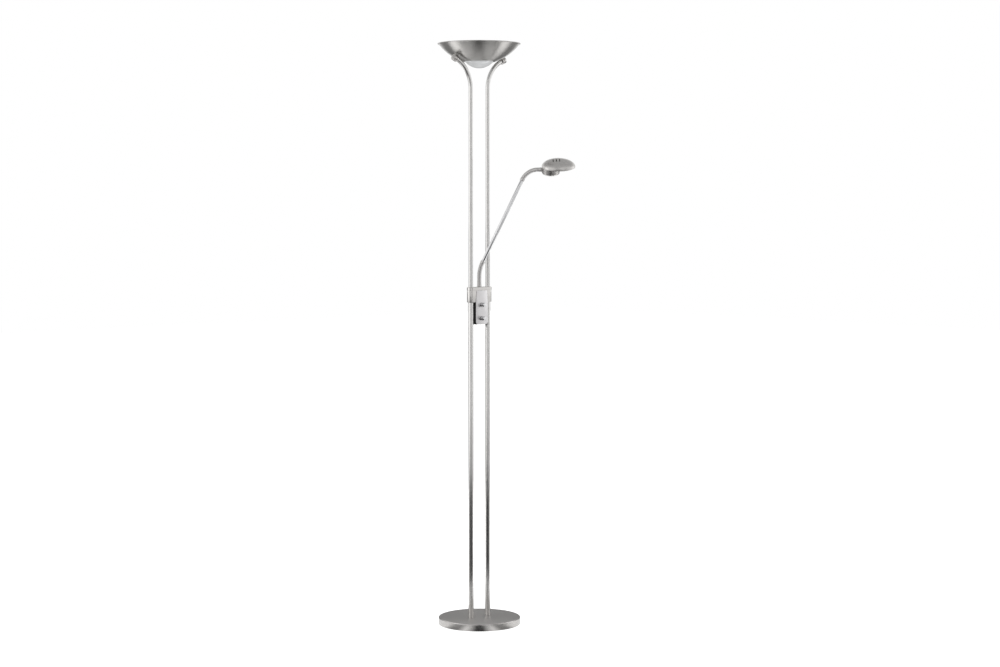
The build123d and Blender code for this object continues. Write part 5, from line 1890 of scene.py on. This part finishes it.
@dataclass
class DishAndLamp:
    """The frosted dish that closes the bowl's bottom, and the rod lamp on its bracket."""

    dish_radius: float = 57.0
    dish_wall: float = 3.0
    dish_centre_z: float = 1780.434
    flange_radius: float = 56.0
    flange_bottom: float = 1747.488
    flange_thickness: float = 3.0
    flange_round: float = 0.8
    bracket_bottom: float = 1759.488
    bracket_thickness: float = 1.2
    bracket_width: float = 22.0
    bracket_half: float = 70.0
    pad_half: float = 8.0
    pad_hole: float = 3.5
    strip_edge: float = 0.25
    pad_distance: float = 17.899
    holder_bottom: float = 1760.688
    holder_height: float = 24.0
    holder_thickness: float = 9.0
    holder_width: float = 14.0
    holder_inner: float = 56.0
    holder_edge: float = 0.9
    cap_edge: float = 0.5
    lamp_z: float = 1776.688
    lamp_length: float = 118.0
    lamp_radius: float = 5.0
    cap_radius: float = 3.6
    cap_length: float = 10.0

    def dish(self) -> None:
        """Turn the dish with its flange, and soften the flange's rim."""
        outer, inner, centre = self.dish_radius, self.dish_radius - self.dish_wall, (0.0, self.dish_centre_z)
        low, top = self.flange_bottom, self.flange_bottom + self.flange_thickness
        outer_turn = degrees(acos((self.dish_centre_z - low) / outer))
        inner_turn = degrees(acos((self.dish_centre_z - top) / inner))
        outline = Outline(0.0, self.dish_centre_z - outer).arc(centre, outer_turn, 22)
        edge = self.flange_round
        rim = self.flange_radius - edge
        outline.to((rim, low)).arc((rim, low + edge), 90.0, 4)
        outline.to((self.flange_radius, top - edge)).arc((rim, top - edge), 90.0, 4)
        outline.to((inner * sin(radians(inner_turn)), top))
        outline.arc(centre, -inner_turn, 22)
        mesh = outline.close().turned(steps=144)
        piece("glass_dish_skin", mesh, FROSTED, "stand", ["glass_dish"])

    def bracket(self, bowl: Bowl) -> None:
        """Bend the lamp's bracket from one strip, its ends lying on the bowl's fixings.

        Args:
            bowl: The bowl that it hangs in.
        """
        ends = []
        for side in SIDES.values():
            place = bowl.fixing(side)[0]
            centre, inward = place.translation / MM, place.to_3x3().col[2]
            slope = Vector((side * inward.z, 0.0, abs(inward.x)))
            middle = centre + inward * self.pad_distance
            ends.append([middle + slope * half for half in (self.pad_half, -self.pad_half)])
        (left_out, left_in), (right_out, right_in) = ends
        low, half = self.bracket_bottom, self.bracket_half
        sheet = Outline(left_out.x, left_out.z)
        sheet.to((left_in.x, left_in.z), (-half, low), (half, low))
        sheet.to((right_in.x, right_in.z), (right_out.x, right_out.z))
        strip = sheet.mesh
        made = bmesh.ops.extrude_edge_only(strip, edges=list(strip.edges))["geom"]
        bmesh.ops.translate(strip, vec=(0.0, self.bracket_width * MM, 0.0), verts=verts_in(made))
        bmesh.ops.translate(strip, vec=(0.0, -self.bracket_width / 2 * MM, 0.0), verts=list(strip.verts))
        bmesh.ops.recalc_face_normals(strip, faces=list(strip.faces))
        if sum(face.normal.z for face in strip.faces) < 0:
            bmesh.ops.reverse_faces(strip, faces=list(strip.faces))
        bmesh.ops.solidify(strip, geom=list(strip.faces), thickness=-self.bracket_thickness * MM)
        bmesh.ops.recalc_face_normals(strip, faces=list(strip.faces))
        softened(strip, self.strip_edge)
        solid = piece("lamp_bracket_skin", strip, ZINC, "stand", ["lamp_bracket"])
        for side in SIDES.values():
            carve(solid, placed(rod(self.pad_hole, 8.0, 30.0, 32), bowl.fixing(side)[0]))

    def holders(self) -> None:
        """Push the two ceramic holders up, soften them and cut the lamp's sockets."""
        meshes = []
        for side in SIDES.values():
            middle = side * (self.holder_inner + self.holder_thickness / 2)
            half, high, width = self.holder_thickness / 2, self.holder_height, self.holder_width
            outline = Outline(-half, 0.0).to((half, 0.0), (half, high), (-half, high))
            block = softened(outline.close().pushed(width), self.holder_edge, segments=3)
            meshes.append(placed(block, at(middle, -width / 2, self.holder_bottom)))
        made = piece("lamp_holder_pair", joined(*meshes), CERAMIC, "stand", ["lamp_holders"])
        for side in SIDES.values():
            place = facing((side * self.holder_inner, 0.0, self.lamp_z), (side, 0, 0), (0, 1, 0))
            carve(made, placed(rod(self.cap_radius + 0.1, -2.0, 3.0, 40), place))

    def lamp(self) -> None:
        """Turn the clear tube, its ceramic caps, the filament and its rings."""
        place = facing((-self.lamp_length / 2, 0.0, self.lamp_z), (1, 0, 0), (0, 1, 0))
        cap, length, radius = self.cap_length, self.lamp_length, self.lamp_radius
        tube = Outline(0.0, cap - 1.5).to((self.cap_radius - 0.8, cap - 1.5), (self.cap_radius - 0.4, cap))
        tube.to((radius - 0.5, cap + 2.0), (radius, cap + 4.5), (radius, length - cap - 4.5))
        tube.to((radius - 0.5, length - cap - 2.0), (self.cap_radius - 0.4, length - cap))
        tube.to((self.cap_radius - 0.8, length - cap + 1.5), (0.0, length - cap + 1.5))
        piece("rod_lamp_glass", placed(tube.turned(steps=48), place), QUARTZ, "stand", ["tube_lamp"])
        caps = [
            softened(rod(self.cap_radius, low + 0.1, high - 0.1, 40), self.cap_edge)
            for low, high in ((0.0, cap), (length - cap, length))
        ]
        piece("rod_lamp_caps", placed(joined(*caps), place), CERAMIC, "stand")
        wire = [rod(0.45, cap + 2.0, length - cap - 2.0, 12)]
        for share in (0.2, 0.4, 0.6, 0.8):
            middle = cap + (length - 2 * cap) * share
            wire.append(ring(radius - 1.3, radius - 1.7, middle - 0.2, middle + 0.2, 24))
        piece("rod_lamp_filament", placed(joined(*wire), place), TUNGSTEN, "stand")

    def build(self, bowl: Bowl) -> None:
        """Build and dress the dish, the bracket and the lamp.

        Args:
            bowl: The bowl that they stand in.
        """
        self.dish()
        self.bracket(bowl)
        self.holders()
        self.lamp()
        dress_node("wires", WIRE_COVER)


# ---------------------------------------------------------------- studio


@dataclass
class Softbox:
    """A large soft lamp.

    Attributes:
        name: Its name.
        place: Where it stands, in metres.
        target: What it points at, in metres.
        size: Width and height, in metres.
        power: Watts.
        mirrored: Whether metal shows it.
    """

    name: str
    place: tuple[float, float, float]
    target: tuple[float, float, float]
    size: tuple[float, float]
    power: float
    mirrored: bool = True

    def build(self) -> None:
        """Place the lamp."""
        data = bpy.data.lights.new(self.name, "AREA")
        data.shape = "RECTANGLE"
        data.size, data.size_y = self.size
        data.energy = self.power
        lamp = linked(self.name, data)
        lamp.location = self.place
        way = Vector(self.target) - Vector(self.place)
        lamp.rotation_euler = way.to_track_quat("-Z", "Y").to_euler()
        lamp.visible_camera = False
        lamp.visible_glossy = self.mirrored


@dataclass
class Card:
    """A flat card that only shows in reflections.

    Attributes:
        name: Its name.
        place: Its middle, in metres.
        target: What it faces, in metres.
        size: Width and height, in metres.
        grey: How light it is.
    """

    name: str
    place: tuple[float, float, float]
    target: tuple[float, float, float]
    size: tuple[float, float]
    grey: float

    def sheet(self) -> Mesh:
        """The card's face, in its place.

        Returns:
            The face, in metres.
        """
        mesh = bmesh.new()
        bmesh.ops.create_grid(mesh, x_segments=1, y_segments=1, size=0.5)
        bmesh.ops.scale(mesh, vec=(*self.size, 1.0), verts=list(mesh.verts))
        way = Vector(self.target) - Vector(self.place)
        turn = way.to_track_quat("Z", "Y").to_matrix().to_4x4()
        bmesh.ops.transform(mesh, matrix=Matrix.Translation(self.place) @ turn, verts=list(mesh.verts))
        return mesh

    def build(self) -> None:
        """Place the card."""
        card = linked(self.name, mesh_data(self.name, self.sheet()))
        made, sheet = blank_material(self.name)
        sheet.surface(sheet.grey("ShaderNodeEmission", self.grey))
        card.data.materials.append(made)
        for ray in ("camera", "diffuse", "shadow", "transmission"):
            setattr(card, f"visible_{ray}", False)


@dataclass
class BackWall(Card):
    """A low curved wall behind the lamp that only shows in reflections.

    Attributes:
        span: Degrees of the round that the wall covers.
        steps: Flat faces along it.
    """

    span: float = 140.0
    steps: int = 24

    def sheet(self) -> Mesh:
        """The wall about the lamp's axis, its middle where the card's place is.

        Returns:
            The wall, in metres.
        """
        mesh = bmesh.new()
        radius = Vector(self.place).xy.length
        foot = bmesh.ops.create_vert(mesh, co=(radius, 0.0, 0.001))["vert"][0]
        top = bmesh.ops.create_vert(mesh, co=(radius, 0.0, self.size[1]))["vert"][0]
        mesh.edges.new((foot, top))
        line = [*mesh.verts, *mesh.edges]
        spun(mesh, line, (0.0, 0.0, 0.0), (0.0, 0.0, 1.0), self.span, self.steps)
        start = atan2(self.place[1], self.place[0]) - radians(self.span) / 2
        bmesh.ops.rotate(mesh, cent=(0, 0, 0), matrix=Matrix.Rotation(start, 3, "Z"), verts=list(mesh.verts))
        return mesh


@dataclass
class Studio:
    """A plain pale floor, soft lamps, a white surround, and the camera at the photo's angle."""

    azimuth: float = -42.12
    distance: float = 6.39
    height: float = 1.306
    pitch: float = 3.571
    pan: float = 0.576
    focal_px: float = 2067.3
    image_width: float = 1000.0
    sensor: float = 36.0
    world_strength: float = 0.8
    floor_glow: float = 0.78
    floor_grey: float = 0.84
    floor_half: float = 14.0
    floor_drop: float = 0.0002
    near_reach: float = 0.3
    far_reach: float = 2.3
    near_greys: tuple[Point, ...] = (
        (0.03, 0.05), (0.06, 1.1), (0.12, 1.1), (0.19, 0.3), (0.26, 0.3), (0.35, 1.1), (0.8, 0.9)
    )
    far_greys: tuple[Point, ...] = (
        (0.12, 0.02), (0.18, 0.5), (0.26, 0.4), (0.33, 0.02),
        (0.46, 0.03), (0.55, 2.4), (0.66, 2.4), (0.76, 0.15)
    )
    edge_greys: tuple[Point, ...] = ((0.04, 0.05), (0.11, 0.85))

    def camera(self) -> None:
        """Place the camera and make it the scene's."""
        data = bpy.data.cameras.new("camera")
        data.sensor_width = self.sensor
        data.lens = self.focal_px / self.image_width * self.sensor
        data.clip_start, data.clip_end = 0.05, 100.0
        eye = linked("camera", data)
        angle = radians(self.azimuth)
        eye.location = (sin(angle) * self.distance, -cos(angle) * self.distance, self.height)
        heading = radians(self.azimuth - self.pan)
        pitch = radians(self.pitch)
        way = Vector((-sin(heading) * cos(pitch), cos(heading) * cos(pitch), -sin(pitch)))
        eye.rotation_euler = way.to_track_quat("-Z", "Y").to_euler()
        bpy.context.scene.camera = eye

    def seen_directly(self, sheet: NodeSheet) -> Socket:
        """Mask of camera rays, and of rays seen through glass or in metal."""
        path = sheet.add("ShaderNodeLightPath")
        glossy = sheet.maths("MAXIMUM", path.outputs["Is Camera Ray"], path.outputs["Is Glossy Ray"])
        return sheet.maths("MAXIMUM", glossy, path.outputs["Is Transmission Ray"])

    def world(self) -> None:
        """White where it is seen, and softer as a light."""
        world = bpy.data.worlds.new("surround")
        bpy.context.scene.world = world
        world.use_nodes = True
        world.node_tree.nodes.clear()
        sheet = NodeSheet(world.node_tree)
        light = sheet.grey("ShaderNodeBackground", 1.0, self.world_strength)
        white = sheet.grey("ShaderNodeBackground", 1.0)
        sheet.surface(sheet.mixed(self.seen_directly(sheet), light, white), "ShaderNodeOutputWorld")

    def greys(self, sheet: NodeSheet, stops: tuple[Point, ...], value: Socket) -> Socket:
        """A row of greys along a value from 0 to 1.

        Args:
            sheet: Where the nodes go.
            stops: Place and grey of each step.
            value: The value that is looked up.

        Returns:
            The grey at that value.
        """
        ramp = sheet.add("ShaderNodeValToRGB")
        steps = ramp.color_ramp.elements
        for (place, grey), step in zip(stops, [*steps, *(steps.new(0.5) for _ in stops[2:])]):
            step.position = place
            step.color = (grey, grey, grey, 1.0)
        sheet.join(value, ramp.inputs[0])
        return ramp.outputs[0]

    def mirrored_floor(self, sheet: NodeSheet) -> Socket:
        """How the floor looks in metal: light and dark strips that spread from the foot.

        Args:
            sheet: Where the nodes go.

        Returns:
            The glow of the strips.
        """
        source = sheet.add("ShaderNodeTexCoord")
        length = sheet.add("ShaderNodeVectorMath", operation="LENGTH")
        sheet.join(source.outputs["Object"], length.inputs[0])
        unit = sheet.add("ShaderNodeVectorMath", operation="NORMALIZE")
        sheet.join(source.outputs["Object"], unit.inputs[0])
        toward = sheet.add("ShaderNodeVectorMath", operation="DOT_PRODUCT")
        sheet.join(unit.outputs[0], toward.inputs[0])
        angle = radians(self.azimuth)
        toward.inputs[1].default_value = (sin(angle), -cos(angle), 0.0)
        turn = sheet.maths("DIVIDE", sheet.maths("ARCCOSINE", toward.outputs["Value"]), pi)
        shown = self.greys(sheet, self.near_greys, turn)
        for start, stops in ((self.near_reach, self.far_greys), (self.far_reach, self.edge_greys)):
            beyond = sheet.maths("GREATER_THAN", length.outputs["Value"], start)
            shown = sheet.chosen(beyond, shown, self.greys(sheet, stops, turn))
        glow = sheet.add("ShaderNodeEmission")
        sheet.join(shown, glow.inputs["Color"])
        return glow.outputs[0]

    def floor(self) -> None:
        """A wide pale floor that takes the lamp's soft shadow."""
        mesh = bmesh.new()
        bmesh.ops.create_grid(mesh, x_segments=1, y_segments=1, size=self.floor_half)
        ground = linked("floor", mesh_data("floor", mesh))
        ground.location = (0.0, 0.0, -self.floor_drop)
        finish, sheet = blank_material("pale_floor")
        matte = sheet.add("ShaderNodeBsdfDiffuse")
        matte.inputs["Color"].default_value = (self.floor_grey, self.floor_grey, self.floor_grey, 1.0)
        both = sheet.add("ShaderNodeAddShader")
        sheet.join(matte.outputs[0], both.inputs[0])
        sheet.join(sheet.grey("ShaderNodeEmission", 1.0, self.floor_glow), both.inputs[1])
        path = sheet.add("ShaderNodeLightPath")
        seen = sheet.maths("MAXIMUM", path.outputs["Is Camera Ray"], path.outputs["Is Transmission Ray"])
        plain = sheet.mixed(seen, matte.outputs[0], both.outputs[0])
        sheet.surface(sheet.mixed(path.outputs["Is Glossy Ray"], plain, self.mirrored_floor(sheet)))
        ground.data.materials.append(finish)

    def build(self) -> None:
        """Set up the whole studio."""
        bpy.context.scene.view_settings.view_transform = "Standard"
        self.camera()
        self.world()
        self.floor()
        lamps = (
            Softbox("key_left", (-2.56, 1.14, 1.3), (0, 0, 1.1), (1.0, 2.4), 8.0),
            Softbox("fill_right", (2.4, -1.4, 1.3), (0, 0, 1.1), (0.9, 2.4), 5.0),
            Softbox("top", (0.0, 0.0, 3.8), (0, 0, 0), (2.4, 2.4), 8.0, False),
        )
        for lamp in lamps:
            lamp.build()
        cards = (
            Card("dark_front", (-1.67, -1.86, 1.5), (0.0, 0.0, 1.5), (0.44, 3.0), 0.06),
            Card("dark_side", (0.1, -3.0, 1.1), (0.0, 0.0, 1.1), (0.7, 2.4), 0.15),
            BackWall("grey_back", (1.6, 1.78, 0.0), (0.0, 0.0, 0.0), (0.0, 1.2), 0.24),
            Card("grey_ceiling", (0.0, 0.0, 4.6), (0, 0, 0), (9.0, 9.0), 0.5),
        )
        for card in cards:
            card.build()


def main() -> None:
    """Build the lamp and its studio."""
    logging.basicConfig(level=logging.INFO, format="%(name)s %(message)s", stream=sys.stdout)
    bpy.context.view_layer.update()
    Base().build()
    Poles().build()
    Clamp().build()
    DimmerBox().build()
    line = ArmLine()
    ReadingArm(line).build()
    ReadingHead(line).build()
    bowl = Bowl()
    bowl.build()
    DishAndLamp().build(bowl)
    Studio().build()
    bpy.context.view_layer.update()


if __name__ == "__main__":
    main()
